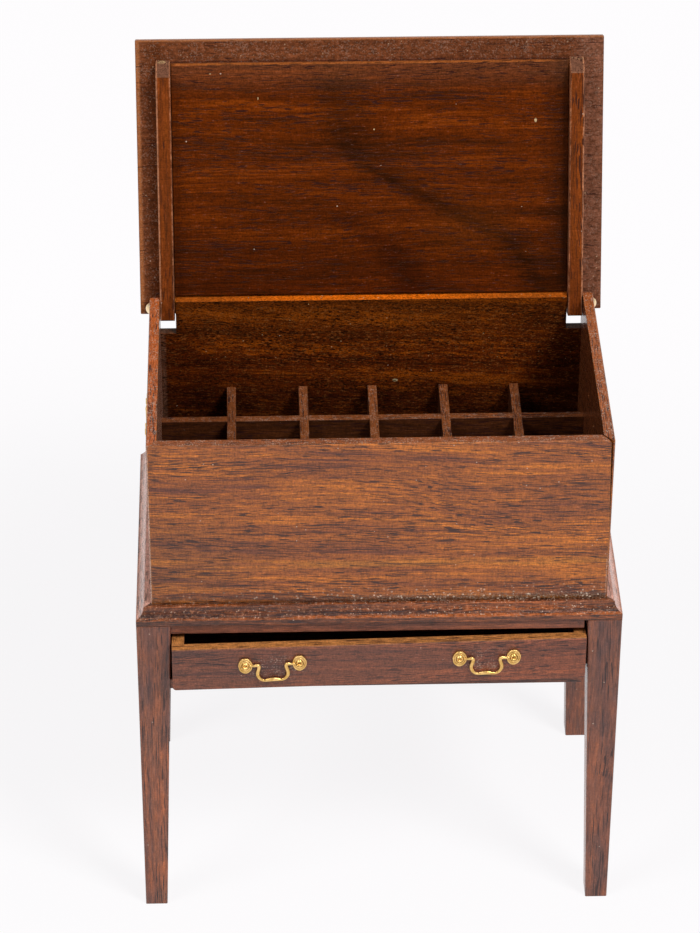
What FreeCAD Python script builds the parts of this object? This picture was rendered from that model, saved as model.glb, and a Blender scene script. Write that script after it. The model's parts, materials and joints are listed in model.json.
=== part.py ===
import FreeCAD, Part
import math
import os

# A miniature cellarette on a stand: a lidded bottle case with a dividing grid, standing on a
# four-legged stand with one shallow drawer.  Millimetres, +X to the right, +Y to the back, +Z up.
# The origin is on the floor, in the middle of the stand's footprint.

# ---------------------------------------------------------------- driving dimensions
# Stand
stand_width = 63.5          # over the moulding, left to right
stand_depth = 38.1          # over the moulding, front to back
stand_height = 50.4         # floor to the ledge that the case stands on
leg_top = 4.5               # square of a leg under the moulding
leg_foot = 2.95             # square of a leg at the floor, tapered on its two inner faces
moulding_height = 2.5
moulding_width = 4.0        # plan width of each strip
moulding_fascia = 1.0       # upright band under the cove
cove_run = 1.0              # how far the cove carries the ledge inwards
top_panel_thick = 1.6
rail_height = 1.6
rail_depth = 3.2
rail_recess = 0.5           # rails and aprons lie this far behind the legs' faces
rail_short = 0.4            # the front rails stop short of the right leg
apron_thick = 1.6
drawer_opening = 7.45       # clear height between the front rails
runner_width = 4.6
guide_gap = 0.25            # between a drawer side and its guide

# Drawer, drawn as it stands: a little open, its front set slightly askew
drawer_pull_out = 1.26      # middle of the front's face, ahead of the legs' faces
drawer_closed_proud = 0.06  # the same when the drawer is pushed home
drawer_skew = 1.45          # degrees that the front board's left end swings forward
drawer_end_gap = 0.1        # each end of the front to its leg
drawer_run_gap = 0.05       # under the drawer
drawer_head_gap = 0.83      # over the drawer
drawer_front_thick = 1.35
drawer_side_thick = 1.6
drawer_bottom_thick = 0.8
drawer_back_gap = 0.05      # behind the drawer when it is pushed home
drawer_corner_radius = 0.5  # worn lower corners of the front

# Case
ledge_front = 0.68          # bare ledge in front of the case
ledge_side = 0.975          # bare ledge beside the case
ledge_back = 0.62           # bare ledge behind the case
case_height = 24.9
case_wall = 1.35
case_bottom_thick = 1.35
back_wall_drop = 0.27       # the back wall's top edge, below the rim
divider_thick = 1.2
divider_height = 9.45
rear_cell = 7.1             # clear depth of the rearmost row of cells
cell_rows = 4
cell_columns = 6
cross_shifts = (0.33, 0.42, 0.15, 0.16, 0.14)   # each cross divider, right of even spacing

# Lid, its arms and the hinge pins
lid_thick = 1.2
lid_overhang_front = 1.15
lid_overhang_side = 1.28
lid_overhang_back = 0.16
lid_rest_gap = 0.05         # between the rim and the closed lid
lid_panel_thick = 0.8
panel_front_gap = 0.5       # inner panel to the case's front wall, lid closed
panel_back_gap = 1.5        # inner panel to the pins' axis
panel_arm_gap = 0.05
arm_width = 1.95
arm_depth = 2.3
arm_side_gap = 0.04         # arm to the case's side wall
arm_front_gap = 0.15        # arm to the case's front wall, lid closed
arm_tail = 1.6              # arm behind the pins' axis
arm_bevel = 1.8             # run of the bevel on an arm's front end
pin_drop = 1.44             # pins' axis below the rim
pin_back_cover = 1.0        # pins' axis to the case's back face
pin_radius = 0.35
pin_running_gap = 0.03      # radial, between a pin and its arm
pin_head_radius = 0.8
pin_head_height = 0.55
pin_end_cover = 0.15        # a pin ends this far inside its arm's inner face
notch_depth = 5.3           # arm notches in the back wall, below the rim
notch_gap = 0.12            # beside an arm in its notch
stop_gap = 0.03             # open lid's back edge to the case's back face

# Brass bail pulls: two on the drawer, one on each side of the case
pull_spacing = 7.1          # between the posts of one pull
drawer_pull_from_middle = 14.05
drawer_pull_below_top = 2.6
left_pull_tilt = 1.8        # degrees that the drawer's left pull is fixed out of level
case_pull_below_rim = 7.5
plate_width = 1.9           # oval plate behind each post
plate_height = 2.5
plate_thick = 0.06
plate_rim = 0.22            # width of the plate's outer step
plate_step = 0.04           # height of the raised middle of the plate
post_radius = 0.4
post_length = 0.6           # proud of the board
post_rounding = 0.1
post_shank_radius = 0.25
post_dimple_radius = 0.2
post_dimple_depth = 0.06
bail_axis_out = 0.3         # bail's axis to the board
bail_neck_radius = 0.13     # ends of the bail, inside the posts
bail_wire_radius = 0.25     # arms and bar
bail_ball_radius = 0.27     # rounded shoulders, between neck and arm
bail_running_gap = 0.03     # radial, between a bail's end and its post
bail_end_depth = 0.35       # how far a bail's end goes into its post
bail_end_gap = 0.05         # bail's end to the bottom of its hole
bail_drop = 2.45            # axis to the middle of the hanging bar
bail_arm_half = 1.98        # half the spread of the arms at their widest
bail_shoulder_half = 1.76   # half the spread of the arms at the shoulders
bail_corner_radius = 0.6
bail_lean = 16.0            # degrees that each arm leans inwards above the corner
bail_lean_radius = 0.9
bail_hump_radius = 1.1
bail_hump_turn = 22.0       # degrees
bail_swell_radius = 0.27
bail_swell_half = 0.8

mitre_show = 0.18           # width of each side wall's end that shows on the case's front
mitre_gap = 0.24            # open joint at the rim, case's right front corner
mitre_gap_depth = 14.0      # how far down that joint stands open
front_corner_radius = 0.65  # worn top corner of the front, beside the open joint
arris = 0.1                 # eased edges

# ---------------------------------------------------------------- places worked out from them
half_width = stand_width / 2
half_depth = stand_depth / 2
moulding_base = stand_height - moulding_height
rail_top_z = moulding_base - rail_height
opening_bottom_z = rail_top_z - drawer_opening
frame_bottom_z = opening_bottom_z - rail_height
apron_inner_x = half_width - rail_recess - apron_thick
apron_inner_y = half_depth - rail_recess - apron_thick

drawer_half = half_width - leg_top - drawer_end_gap
drawer_bottom_z = opening_bottom_z + drawer_run_gap
drawer_top_z = rail_top_z - drawer_head_gap
drawer_face_y = -half_depth - drawer_pull_out
drawer_closing = drawer_pull_out - drawer_closed_proud
drawer_back_y = apron_inner_y - drawer_back_gap - drawer_closing

case_half = half_width - cove_run - ledge_side
case_front_y = -half_depth + cove_run + ledge_front
case_back_y = half_depth - ledge_back
case_inner_half = case_half - case_wall
case_inner_front = case_front_y + case_wall
case_inner_back = case_back_y - case_wall
mitre_x = case_half - mitre_show        # where a front mitre meets the case's front
rim_z = stand_height + case_height
case_floor_z = stand_height + case_bottom_thick

pin_y = case_back_y - pin_back_cover
pin_z = rim_z - pin_drop
lid_under_z = rim_z + lid_rest_gap
lid_half = case_half + lid_overhang_side
lid_front_y = case_front_y - lid_overhang_front
lid_back_y = case_back_y + lid_overhang_back
arm_outer_x = case_inner_half - arm_side_gap
arm_inner_x = arm_outer_x - arm_width

# The open lid stops with the lower corner of its back edge against the case's back face.
corner_back = lid_back_y - pin_y
corner_up = lid_under_z - pin_z
corner_reach = math.hypot(corner_back, corner_up)
lid_open_angle = math.degrees(
    math.atan2(corner_up, corner_back) + math.acos((pin_back_cover + stop_gap) / corner_reach))

V = FreeCAD.Vector
X_AXIS, Y_AXIS, Z_AXIS = V(1, 0, 0), V(0, 1, 0), V(0, 0, 1)


# ---------------------------------------------------------------- shaping helpers
def block(x0, x1, y0, y1, z0, z1):
    """A box between two values on each axis, in either order."""
    low = V(min(x0, x1), min(y0, y1), min(z0, z1))
    return Part.makeBox(abs(x1 - x0), abs(y1 - y0), abs(z1 - z0), low)


def plan_board(outline, z0, z1):
    """A board with the given outline in plan."""
    points = [V(x, y, z0) for x, y in outline]
    face = Part.Face(Part.makePolygon(points + points[:1]))
    return face.extrude(V(0, 0, z1 - z0))


def mirror_x(shape):
    return shape.mirror(V(0, 0, 0), X_AXIS)


def side_of(shape, side):
    """The shape as drawn for the right (side 1), or its mirror image for the left (side -1)."""
    return shape if side > 0 else mirror_x(shape)


def eased(shape, chooser, size=arris):
    """The shape with a small chamfer on each edge that the chooser picks."""
    edges = [e for e in shape.Edges if chooser(e)]
    return shape.makeChamfer(size, edges) if edges else shape


def along(edge, axis, tolerance=0.05):
    """True for a straight edge that runs along an axis."""
    if not isinstance(edge.Curve, (Part.Line, Part.LineSegment)):
        return False
    ends = edge.Vertexes
    run = ends[-1].Point - ends[0].Point
    return run.Length > 0 and run.cross(axis).Length < tolerance * run.Length


def middle(edge):
    return edge.CenterOfMass


def near(value, target):
    return abs(value - target) < 0.01


# ---------------------------------------------------------------- stand
def leg(side, end):
    """side is 1 for right and -1 for left, end is 1 for back and -1 for front."""
    wires = []
    for size, z in ((leg_foot, 0), (leg_top, moulding_base)):
        xs = (side * half_width, side * (half_width - size))
        ys = (end * half_depth, end * (half_depth - size))
        corners = [(xs[0], ys[0]), (xs[1], ys[0]), (xs[1], ys[1]), (xs[0], ys[1])]
        points = [V(x, y, z) for x, y in corners]
        wires.append(Part.makePolygon(points + points[:1]))
    solid = Part.makeLoft(wires, True, True)
    return eased(solid, lambda e: e.Length > moulding_base / 2)


def moulding_profile(coved):
    """Section of a strip: first value is inwards from its outer face, second is height."""
    inner = [(0, arris), (arris, 0), (moulding_width, 0), (moulding_width, moulding_height)]
    if not coved:
        return inner + [(arris, moulding_height), (0, moulding_height - arris)], None
    cove_top = moulding_height - arris
    cove_rise = cove_top - moulding_fascia
    radius = (cove_run ** 2 + cove_rise ** 2) / (2 * cove_run)
    spread = math.asin(cove_rise / radius) / 2
    mid = (cove_run - radius + radius * math.cos(spread), cove_top - radius * math.sin(spread))
    ledge = [(cove_run + arris, moulding_height), (cove_run, cove_top)]
    return inner + ledge, (mid, (0, moulding_fascia))


def strip(place, length_axis, length, coved=True):
    """A moulding strip: place turns a section point into a corner of its outer, near end."""
    corners, cove = moulding_profile(coved)
    points = [place(s, h) for s, h in corners]
    edges = [Part.makeLine(a, b) for a, b in zip(points, points[1:])]
    if cove:
        mid, end = place(*cove[0]), place(*cove[1])
        edges += [Part.Arc(points[-1], mid, end).toShape(), Part.makeLine(end, points[0])]
    else:
        edges.append(Part.makeLine(points[-1], points[0]))
    return Part.Face(Part.Wire(edges)).extrude(length_axis * length)


def moulding_parts():
    front = strip(lambda s, h: V(-half_width, -half_depth + s, moulding_base + h), X_AXIS, stand_width)
    right = strip(lambda s, h: V(half_width - s, -half_depth, moulding_base + h), Y_AXIS, stand_depth)
    back = strip(lambda s, h: V(-half_width + moulding_width, half_depth - s, moulding_base + h),
                 X_AXIS, stand_width - 2 * moulding_width, coved=False)
    inner_x, inner_y = half_width - moulding_width, half_depth - moulding_width
    front_plan = [(-half_width, -half_depth), (half_width, -half_depth),
                  (inner_x, -inner_y), (-inner_x, -inner_y)]
    right_plan = [(half_width, -half_depth), (half_width, half_depth),
                  (inner_x, half_depth), (inner_x, -inner_y)]
    right = right.common(plan_board(right_plan, moulding_base, stand_height))
    return {
        "moulding_front": front.common(plan_board(front_plan, moulding_base, stand_height)),
        "moulding_right": right,
        "moulding_left": mirror_x(right),
        "moulding_back": back,
    }


def stand_parts():
    parts = {}
    for side, side_name in ((-1, "left"), (1, "right")):
        for end, end_name in ((-1, "front"), (1, "back")):
            parts["leg_%s_%s" % (end_name, side_name)] = leg(side, end)
    legs = Part.makeCompound(list(parts.values()))
    square_legs = [block(s * half_width, s * (half_width - leg_top), e * half_depth,
                         e * (half_depth - leg_top), 0, moulding_base)
                   for s in (-1, 1) for e in (-1, 1)]

    def between_legs(board):
        """The part of a long board that is left between the legs."""
        cut = board.cut(legs)
        return max(cut.Solids, key=lambda s: s.Volume)

    half_leg = leg_foot / 2
    rail_y = -half_depth + rail_recess
    for name, z0 in (("rail_top", rail_top_z), ("rail_lower", frame_bottom_z)):
        rail = block(-half_width + half_leg, half_width - leg_top - rail_short,
                     rail_y, rail_y + rail_depth, z0, z0 + rail_height)
        rail = eased(rail, lambda e: along(e, X_AXIS) and near(middle(e).y, rail_y)
                     and middle(e).z < moulding_base - arris)
        parts[name] = between_legs(rail)

    apron = block(apron_inner_x + apron_thick, apron_inner_x, -half_depth + half_leg,
                  half_depth - half_leg, frame_bottom_z, moulding_base)
    parts["apron_right"] = between_legs(apron)
    parts["apron_left"] = mirror_x(parts["apron_right"])
    back = block(-half_width + half_leg, half_width - half_leg, apron_inner_y,
                 apron_inner_y + apron_thick, frame_bottom_z, moulding_base)
    parts["apron_back"] = between_legs(back)

    runner_y0 = rail_y + rail_depth
    guide_x = drawer_half + guide_gap
    for name, z0, z1, inner_x in (
            ("drawer_runner", frame_bottom_z, opening_bottom_z, apron_inner_x - runner_width),
            ("drawer_kicker", rail_top_z, moulding_base, apron_inner_x - runner_width),
            ("drawer_guide", opening_bottom_z, rail_top_z, guide_x)):
        y0 = runner_y0 if name != "drawer_guide" else -half_depth + leg_top
        y1 = apron_inner_y if name != "drawer_guide" else half_depth - leg_top
        board = block(apron_inner_x, inner_x, y0, y1, z0, z1)
        for post in square_legs:
            board = board.cut(post)
        board = max(board.Solids, key=lambda s: s.Volume)
        parts[name + "_right"] = board
        parts[name + "_left"] = mirror_x(board)

    parts.update(moulding_parts())
    inner_x, inner_y = half_width - moulding_width, half_depth - moulding_width
    parts["stand_top_panel"] = block(-inner_x, inner_x, -inner_y, inner_y,
                                     stand_height - top_panel_thick, stand_height)
    return parts


# ---------------------------------------------------------------- brass pulls
def bail_hump_rise():
    return 2 * bail_hump_radius * (1 - math.cos(math.radians(bail_hump_turn)))


def bail_path():
    """Centre line of the bar's right half and its arm: x along the bail's axis, z up from it."""
    x, z, heading = 0.0, bail_hump_rise() - bail_drop, 0.0
    edges = []

    def straight(length):
        nonlocal x, z
        end = (x + length * math.cos(heading), z + length * math.sin(heading))
        edges.append(Part.makeLine(V(x, 0, z), V(end[0], 0, end[1])))
        x, z = end

    def turn(radius, degrees):
        nonlocal x, z, heading
        angle = math.radians(degrees)
        sign = 1 if angle > 0 else -1
        cx, cz = x - sign * radius * math.sin(heading), z + sign * radius * math.cos(heading)
        points = [(cx + sign * radius * math.sin(heading + f * angle),
                   cz - sign * radius * math.cos(heading + f * angle)) for f in (0.5, 1)]
        (mx, mz), (ex, ez) = points
        edges.append(Part.Arc(V(x, 0, z), V(mx, 0, mz), V(ex, 0, ez)).toShape())
        x, z, heading = ex, ez, heading + angle

    lean = math.radians(bail_lean)
    turn(bail_hump_radius, -bail_hump_turn)
    turn(bail_hump_radius, bail_hump_turn)
    straight(bail_arm_half - bail_corner_radius - x)
    turn(bail_corner_radius, 90 + bail_lean)
    lean_left = x - bail_shoulder_half - bail_lean_radius * (1 - math.cos(lean))
    straight(lean_left / math.sin(lean))
    turn(bail_lean_radius, -bail_lean)
    straight(-z)
    return edges


def bail():
    """A hanging bail in the XZ plane, its axis on the X axis."""
    half = Part.Wire(bail_path())
    path = Part.Wire(list(reversed(mirror_x(half).Edges)) + half.Edges)
    start = V(-bail_shoulder_half, 0, 0)
    section = Part.Wire(Part.makeCircle(bail_wire_radius, start, Z_AXIS))
    solid = path.makePipeShell([section], True, False)
    neck_length = pull_spacing / 2 - post_radius + bail_end_depth - bail_shoulder_half
    for side in (-1, 1):
        shoulder = V(side * bail_shoulder_half, 0, 0)
        neck = Part.makeCylinder(bail_neck_radius, neck_length, shoulder, V(side, 0, 0))
        solid = solid.fuse([neck, Part.makeSphere(bail_ball_radius, shoulder)])
    low_z = bail_hump_rise() - bail_drop
    ends = V(-bail_swell_half, 0, low_z), V(bail_swell_half, 0, low_z)
    outline = Part.Wire([
        Part.Arc(ends[0], V(0, 0, low_z + bail_swell_radius), ends[1]).toShape(),
        Part.makeLine(ends[1], ends[0])])
    swell = Part.Face(outline).revolve(V(0, 0, low_z), X_AXIS, 360)
    return solid.fuse(swell).removeSplitter()


def oval(width, height, y0, y1):
    """An oval slab standing in the XZ plane, from y0 to y1."""
    curve = Part.Ellipse(V(0, y0, height / 2), V(width / 2, y0, 0), V(0, y0, 0))
    return Part.Face(Part.Wire(curve.toShape())).extrude(V(0, y1 - y0, 0))


def pull_plate():
    """An oval stepped plate on the plane y = 0, facing -Y, with a hole for the post's shank."""
    base = oval(plate_width, plate_height, 0, -plate_thick)
    raised = oval(plate_width - 2 * plate_rim, plate_height - 2 * plate_rim,
                  -plate_thick, -plate_thick - plate_step)
    hole = Part.makeCylinder(post_radius, post_length, V(0, 0, 0), V(0, -1, 0))
    return base.fuse(raised).removeSplitter().cut(hole)


def pull_post(board_thick, side):
    """A post on the plane y = 0, facing -Y, with a shank through the board behind it."""
    head = Part.makeCylinder(post_radius, post_length, V(0, 0, 0), V(0, -1, 0))
    rim = [e for e in head.Edges if near(middle(e).y, -post_length) and e.Closed]
    head = head.makeFillet(post_rounding, rim)
    shank = Part.makeCylinder(post_shank_radius, board_thick, V(0, 0, 0), Y_AXIS)
    hole_end = post_radius - bail_end_depth - bail_end_gap
    hole = Part.makeCylinder(bail_neck_radius + bail_running_gap, post_radius - hole_end,
                             V(-side * hole_end, -bail_axis_out, 0), V(-side, 0, 0))
    dimple = Part.makeCylinder(post_dimple_radius, post_dimple_depth,
                               V(0, -post_length, 0), Y_AXIS)
    return head.fuse(shank).removeSplitter().cut(hole).cut(dimple)


def pull(board_thick, tilt=0.0):
    """Plates, posts, bail and shank holes of one pull on the plane y = 0, facing -Y."""
    plates, posts, holes = [], [], []
    for side in (-1, 1):
        place = V(side * pull_spacing / 2, 0, 0)
        plates.append(pull_plate().translated(place))
        posts.append(pull_post(board_thick, side).translated(place))
        hole = Part.makeCylinder(post_shank_radius, board_thick, place, Y_AXIS)
        holes.append(hole)
    hanging = bail().translated(V(0, -bail_axis_out, 0))
    pieces = [Part.makeCompound(plates), Part.makeCompound(posts), hanging, Part.makeCompound(holes)]
    for piece in pieces:
        piece.rotate(V(0, 0, 0), Y_AXIS, -tilt)
    return pieces


def placed(shape, position, turn):
    """The shape turned about Z by some degrees at the origin, then moved."""
    copy = shape.copy()
    copy.rotate(V(0, 0, 0), Z_AXIS, turn)
    return copy.translated(position)


# ---------------------------------------------------------------- drawer
def drawer_parts():
    def skewed(shape):
        """Turned about the middle of the front's face."""
        copy = shape.copy()
        copy.rotate(V(0, drawer_face_y, 0), Z_AXIS, drawer_skew)
        return copy

    front = block(-drawer_half, drawer_half, drawer_face_y, drawer_face_y + drawer_front_thick,
                  drawer_bottom_z, drawer_top_z)
    corners = [e for e in front.Edges if along(e, Y_AXIS) and near(middle(e).z, drawer_bottom_z)]
    front = front.makeFillet(drawer_corner_radius, corners)
    front = eased(front, lambda e: near(middle(e).y, drawer_face_y)
                  and near(middle(e).z, drawer_top_z))
    ahead = skewed(block(-half_width, half_width, drawer_face_y - stand_depth,
                         drawer_face_y + drawer_front_thick, 0, stand_height))
    parts = {}
    for name, side in (("left", -1), ("right", 1)):
        board = block(side * drawer_half, side * (drawer_half - drawer_side_thick),
                      drawer_face_y - drawer_half, drawer_back_y, drawer_bottom_z, drawer_top_z)
        parts["drawer_side_" + name] = board.cut(ahead)
    inner = drawer_half - drawer_side_thick
    parts["drawer_back"] = block(-inner, inner, drawer_back_y - drawer_side_thick, drawer_back_y,
                                 drawer_bottom_z, drawer_top_z)
    bottom = block(-inner, inner, drawer_face_y - drawer_half, drawer_back_y - drawer_side_thick,
                   drawer_bottom_z, drawer_bottom_z + drawer_bottom_thick)
    parts["drawer_bottom"] = bottom.cut(ahead)

    for name, side, tilt in (("left", -1, left_pull_tilt), ("right", 1, 0.0)):
        plates, posts, hanging, holes = pull(drawer_front_thick, tilt)
        place = V(side * drawer_pull_from_middle, drawer_face_y, drawer_top_z - drawer_pull_below_top)
        front = front.cut(holes.translated(place))
        parts["drawer_pull_%s_plates" % name] = skewed(plates.translated(place))
        parts["drawer_pull_%s_posts" % name] = skewed(posts.translated(place))
        parts["drawer_pull_%s_bail" % name] = skewed(hanging.translated(place))
    parts["drawer_front"] = skewed(front)
    return parts


# ---------------------------------------------------------------- case
def hinge_round():
    """What is cut from the top of the back, so that the lid can swing about its pins."""
    region = block(-half_width, half_width, pin_y, case_back_y + case_wall, pin_z, rim_z + case_wall)
    keep = Part.makeCylinder(pin_drop, stand_width, V(-half_width, pin_y, pin_z), X_AXIS)
    return region.cut(keep)


def open_mitre():
    """The wedge of air in the right front mitre: widest at the rim, closing further down."""
    along_mitre = V(case_inner_half - mitre_x, case_wall, 0)
    across = V(-along_mitre.y, along_mitre.x, 0).normalize() * mitre_gap
    start = V(mitre_x, case_front_y, rim_z) - along_mitre
    points = [start, start + across, start - Z_AXIS * mitre_gap_depth]
    return Part.Face(Part.makePolygon(points + points[:1])).extrude(along_mitre * 3)


def worn_corner():
    """What is missing from the front's top right corner, which is rounded as seen from the front."""
    x, z = mitre_x - mitre_gap - front_corner_radius, rim_z - front_corner_radius
    corner = V(x, case_front_y - case_wall, z)
    region = block(x, case_half, corner.y, case_inner_front + case_wall, z, rim_z + case_wall)
    return region.cut(Part.makeCylinder(front_corner_radius, 3 * case_wall, corner, Y_AXIS))


def case_walls():
    outline_front = [(-mitre_x, case_front_y), (mitre_x, case_front_y),
                     (case_inner_half, case_inner_front), (-case_inner_half, case_inner_front)]
    outline_right = [(mitre_x, case_front_y), (case_half - arris, case_front_y),
                     (case_half, case_front_y + arris), (case_half, case_back_y),
                     (case_inner_half, case_back_y), (case_inner_half, case_inner_front)]
    front = plan_board(outline_front, stand_height, rim_z)
    front = eased(front, lambda e: near(middle(e).z, rim_z) and near(middle(e).y, case_front_y))
    front = front.cut(open_mitre()).cut(worn_corner())
    swing = hinge_round()
    right = plan_board(outline_right, stand_height, rim_z).cut(swing)
    right = eased(right, lambda e: along(e, Y_AXIS) and near(middle(e).x, case_half)
                  and near(middle(e).z, rim_z))
    right = right.cut(Part.makeCylinder(pin_radius, stand_width, V(0, pin_y, pin_z), X_AXIS))
    back = block(-case_inner_half, case_inner_half, case_inner_back, case_back_y,
                 stand_height, rim_z - back_wall_drop).cut(swing)
    for side in (-1, 1):
        back = back.cut(block(side * case_inner_half, side * (arm_inner_x - notch_gap),
                              case_inner_back, case_back_y, rim_z - notch_depth, rim_z))
    return front, right, back


def grid_parts():
    """Long dividers slotted from above and cross dividers slotted from below, halved together."""
    top_z = case_floor_z + divider_height
    slot_z = case_floor_z + divider_height / 2
    inner_width = 2 * case_inner_half
    inner_depth = case_inner_back - case_inner_front
    cell_width = (inner_width - (cell_columns - 1) * divider_thick) / cell_columns
    front_cell = ((inner_depth - rear_cell - (cell_rows - 1) * divider_thick) / (cell_rows - 1))
    shifts = [cross_shifts[i % len(cross_shifts)] for i in range(cell_columns - 1)]
    xs = [-case_inner_half + (i + 1) * cell_width + i * divider_thick + shift
          for i, shift in enumerate(shifts)]
    ys = [case_inner_front + (j + 1) * front_cell + j * divider_thick for j in range(cell_rows - 1)]
    parts = {}
    for number, y in enumerate(ys, 1):
        board = block(-case_inner_half, case_inner_half, y, y + divider_thick, case_floor_z, top_z)
        for x in xs:
            board = board.cut(block(x, x + divider_thick, y, y + divider_thick, slot_z, top_z))
        parts["divider_long_%d" % number] = board
    for number, x in enumerate(xs, 1):
        board = block(x, x + divider_thick, case_inner_front, case_inner_back, case_floor_z, top_z)
        for y in ys:
            board = board.cut(block(x, x + divider_thick, y, y + divider_thick, case_floor_z, slot_z))
        parts["divider_cross_%d" % number] = board
    return parts


def hinge_pin():
    """The right pin: a domed head outside the wall, and a shank through the wall into the arm."""
    tip_x = arm_inner_x + pin_end_cover
    shank = Part.makeCylinder(pin_radius, case_half - tip_x, V(tip_x, pin_y, pin_z), X_AXIS)
    dome_radius = (pin_head_radius ** 2 + pin_head_height ** 2) / (2 * pin_head_height)
    centre = V(case_half + pin_head_height - dome_radius, pin_y, pin_z)
    inside = block(centre.x - 2 * dome_radius, case_half, pin_y - 2 * dome_radius,
                   pin_y + 2 * dome_radius, pin_z - 2 * dome_radius, pin_z + 2 * dome_radius)
    head = Part.makeSphere(dome_radius, centre).cut(inside)
    return shank.fuse(head).removeSplitter()


def case_parts():
    front, right, back = case_walls()
    parts = {"case_front": front, "case_back": back}
    parts["case_bottom"] = block(-case_inner_half, case_inner_half, case_inner_front,
                                 case_inner_back, stand_height, case_floor_z)
    parts.update(grid_parts())
    plates, posts, hanging, holes = pull(case_wall)
    pull_y = (case_front_y + case_back_y) / 2
    for name, side in (("left", -1), ("right", 1)):
        place, turn = V(side * case_half, pull_y, rim_z - case_pull_below_rim), side * 90
        parts["case_side_" + name] = side_of(right, side).cut(placed(holes, place, turn))
        parts["hinge_pin_" + name] = side_of(hinge_pin(), side)
        parts["case_pull_%s_plates" % name] = placed(plates, place, turn)
        parts["case_pull_%s_posts" % name] = placed(posts, place, turn)
        parts["case_pull_%s_bail" % name] = placed(hanging, place, turn)
    return parts


# ---------------------------------------------------------------- lid
def lid_parts():
    """The lid drawn closed, then swung open about its pins."""
    board = block(-lid_half, lid_half, lid_front_y, lid_back_y, lid_under_z, lid_under_z + lid_thick)
    board = eased(board, lambda e: True)
    panel_half = arm_inner_x - panel_arm_gap
    panel_face_z = lid_under_z - lid_panel_thick
    panel = block(-panel_half, panel_half, case_inner_front + panel_front_gap,
                  pin_y - panel_back_gap, panel_face_z, lid_under_z)
    panel = eased(panel, lambda e: near(middle(e).z, panel_face_z))
    arm_front = case_inner_front + arm_front_gap
    arm_bottom = lid_under_z - arm_depth
    outline = [(arm_front, lid_under_z), (pin_y + arm_tail, lid_under_z),
               (pin_y + arm_tail, arm_bottom), (arm_front + arm_bevel, arm_bottom)]
    points = [V(arm_inner_x, y, z) for y, z in outline]
    arm = Part.Face(Part.makePolygon(points + points[:1])).extrude(X_AXIS * arm_width)
    arm = eased(arm, lambda e: middle(e).z < lid_under_z - arris and not along(e, Z_AXIS))
    bore = Part.makeCylinder(pin_radius + pin_running_gap, 2 * arm_width,
                             V(arm_inner_x - arm_width / 2, pin_y, pin_z), X_AXIS)
    arm = arm.cut(bore)
    parts = {"lid_board": board, "lid_panel": panel, "lid_arm_right": arm,
             "lid_arm_left": mirror_x(arm)}
    for shape in parts.values():
        shape.rotate(V(0, pin_y, pin_z), X_AXIS, -lid_open_angle)
    return parts


# ---------------------------------------------------------------- write the pieces
def main():
    os.makedirs("parts", exist_ok=True)
    parts = {}
    for group in (stand_parts(), drawer_parts(), case_parts(), lid_parts()):
        parts.update(group)
    for name, shape in sorted(parts.items()):
        shape.exportStep("parts/%s.step" % name)
    print("%d nodes, lid opens %.3f degrees, drawer closes %.3f mm"
          % (len(parts), lid_open_angle, drawer_closing))
    return parts


main()
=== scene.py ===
import json
import math

import bpy
from mathutils import Matrix, Vector


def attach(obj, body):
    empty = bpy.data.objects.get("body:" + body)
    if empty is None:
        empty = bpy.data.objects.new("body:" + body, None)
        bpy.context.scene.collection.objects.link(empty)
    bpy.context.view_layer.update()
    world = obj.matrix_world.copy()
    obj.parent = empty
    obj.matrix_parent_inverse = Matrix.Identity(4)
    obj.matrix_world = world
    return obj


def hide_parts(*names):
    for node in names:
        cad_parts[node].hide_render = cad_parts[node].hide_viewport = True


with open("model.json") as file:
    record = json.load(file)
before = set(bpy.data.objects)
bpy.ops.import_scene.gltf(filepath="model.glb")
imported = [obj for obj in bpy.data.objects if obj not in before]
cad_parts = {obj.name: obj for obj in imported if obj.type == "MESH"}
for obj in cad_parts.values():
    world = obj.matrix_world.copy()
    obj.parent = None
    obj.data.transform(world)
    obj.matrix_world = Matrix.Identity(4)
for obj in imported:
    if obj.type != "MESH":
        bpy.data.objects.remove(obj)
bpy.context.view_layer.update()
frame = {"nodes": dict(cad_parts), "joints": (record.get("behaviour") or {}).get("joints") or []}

MM = 0.001
NODES = frame["nodes"]
JOINTS = {joint["name"]: joint for joint in frame["joints"]}

# -------------------- sizes shared by the pieces, in mm
LID_TILT = JOINTS["lid_hinge"]["range_deg"][1] - 90      # degrees that the open lid leans back
CASE_HALF = 29.77            # half the case's width
CASE_FRONT = -17.37
CASE_WALL = 1.35             # how thick the case's walls are
LEDGE = 50.4                 # height of the ledge under the case
COVE_FOOT = 48.9             # height where the moulding's upright band ends and its cove begins
BACK_EDGE = (74.0, 74.3)     # heights that part the back wall's top edge from what is below it
NOTCH_FLOOR = (72.5, 72.0)   # heights that part the notches' floors from what is above them
PANEL_HALF = 26.5            # half the width of the lid's inner panel
PANEL_FOOT = 76.9            # the panel's lower and upper edges, measured up the open lid
PANEL_TOP = 108.2
DRAWER_FACE = -20.6
DRAWER_PULL_ACROSS = 14.05   # a drawer pull's middle to the drawer's middle
DRAWER_PULL_HEIGHT = 42.2
BAIL_OUT = 0.3               # a bail's axis to its board
POST_FROM_MIDDLE = 3.55      # a rosette to the middle of its pull


# -------------------- node helpers
MIX_A, MIX_B, MIX_RESULT = 6, 7, 2       # a mix node's colour sockets


def is_socket(value):
    return isinstance(value, bpy.types.NodeSocket)


def add(tree, kind, sockets=None, **settings):
    """A node of some kind, with its settings, and with values or links on its input sockets."""
    item = tree.nodes.new(kind)
    for key, value in settings.items():
        setattr(item, key, value)
    for key, value in (sockets or {}).items():
        if is_socket(value):
            tree.links.new(value, item.inputs[key])
        else:
            item.inputs[key].default_value = value
    return item


def sums(tree, operation, a, b=0.0, c=0.0):
    """One arithmetic step on values or sockets."""
    return add(tree, "ShaderNodeMath", {0: a, 1: b, 2: c}, operation=operation).outputs[0]


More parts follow.
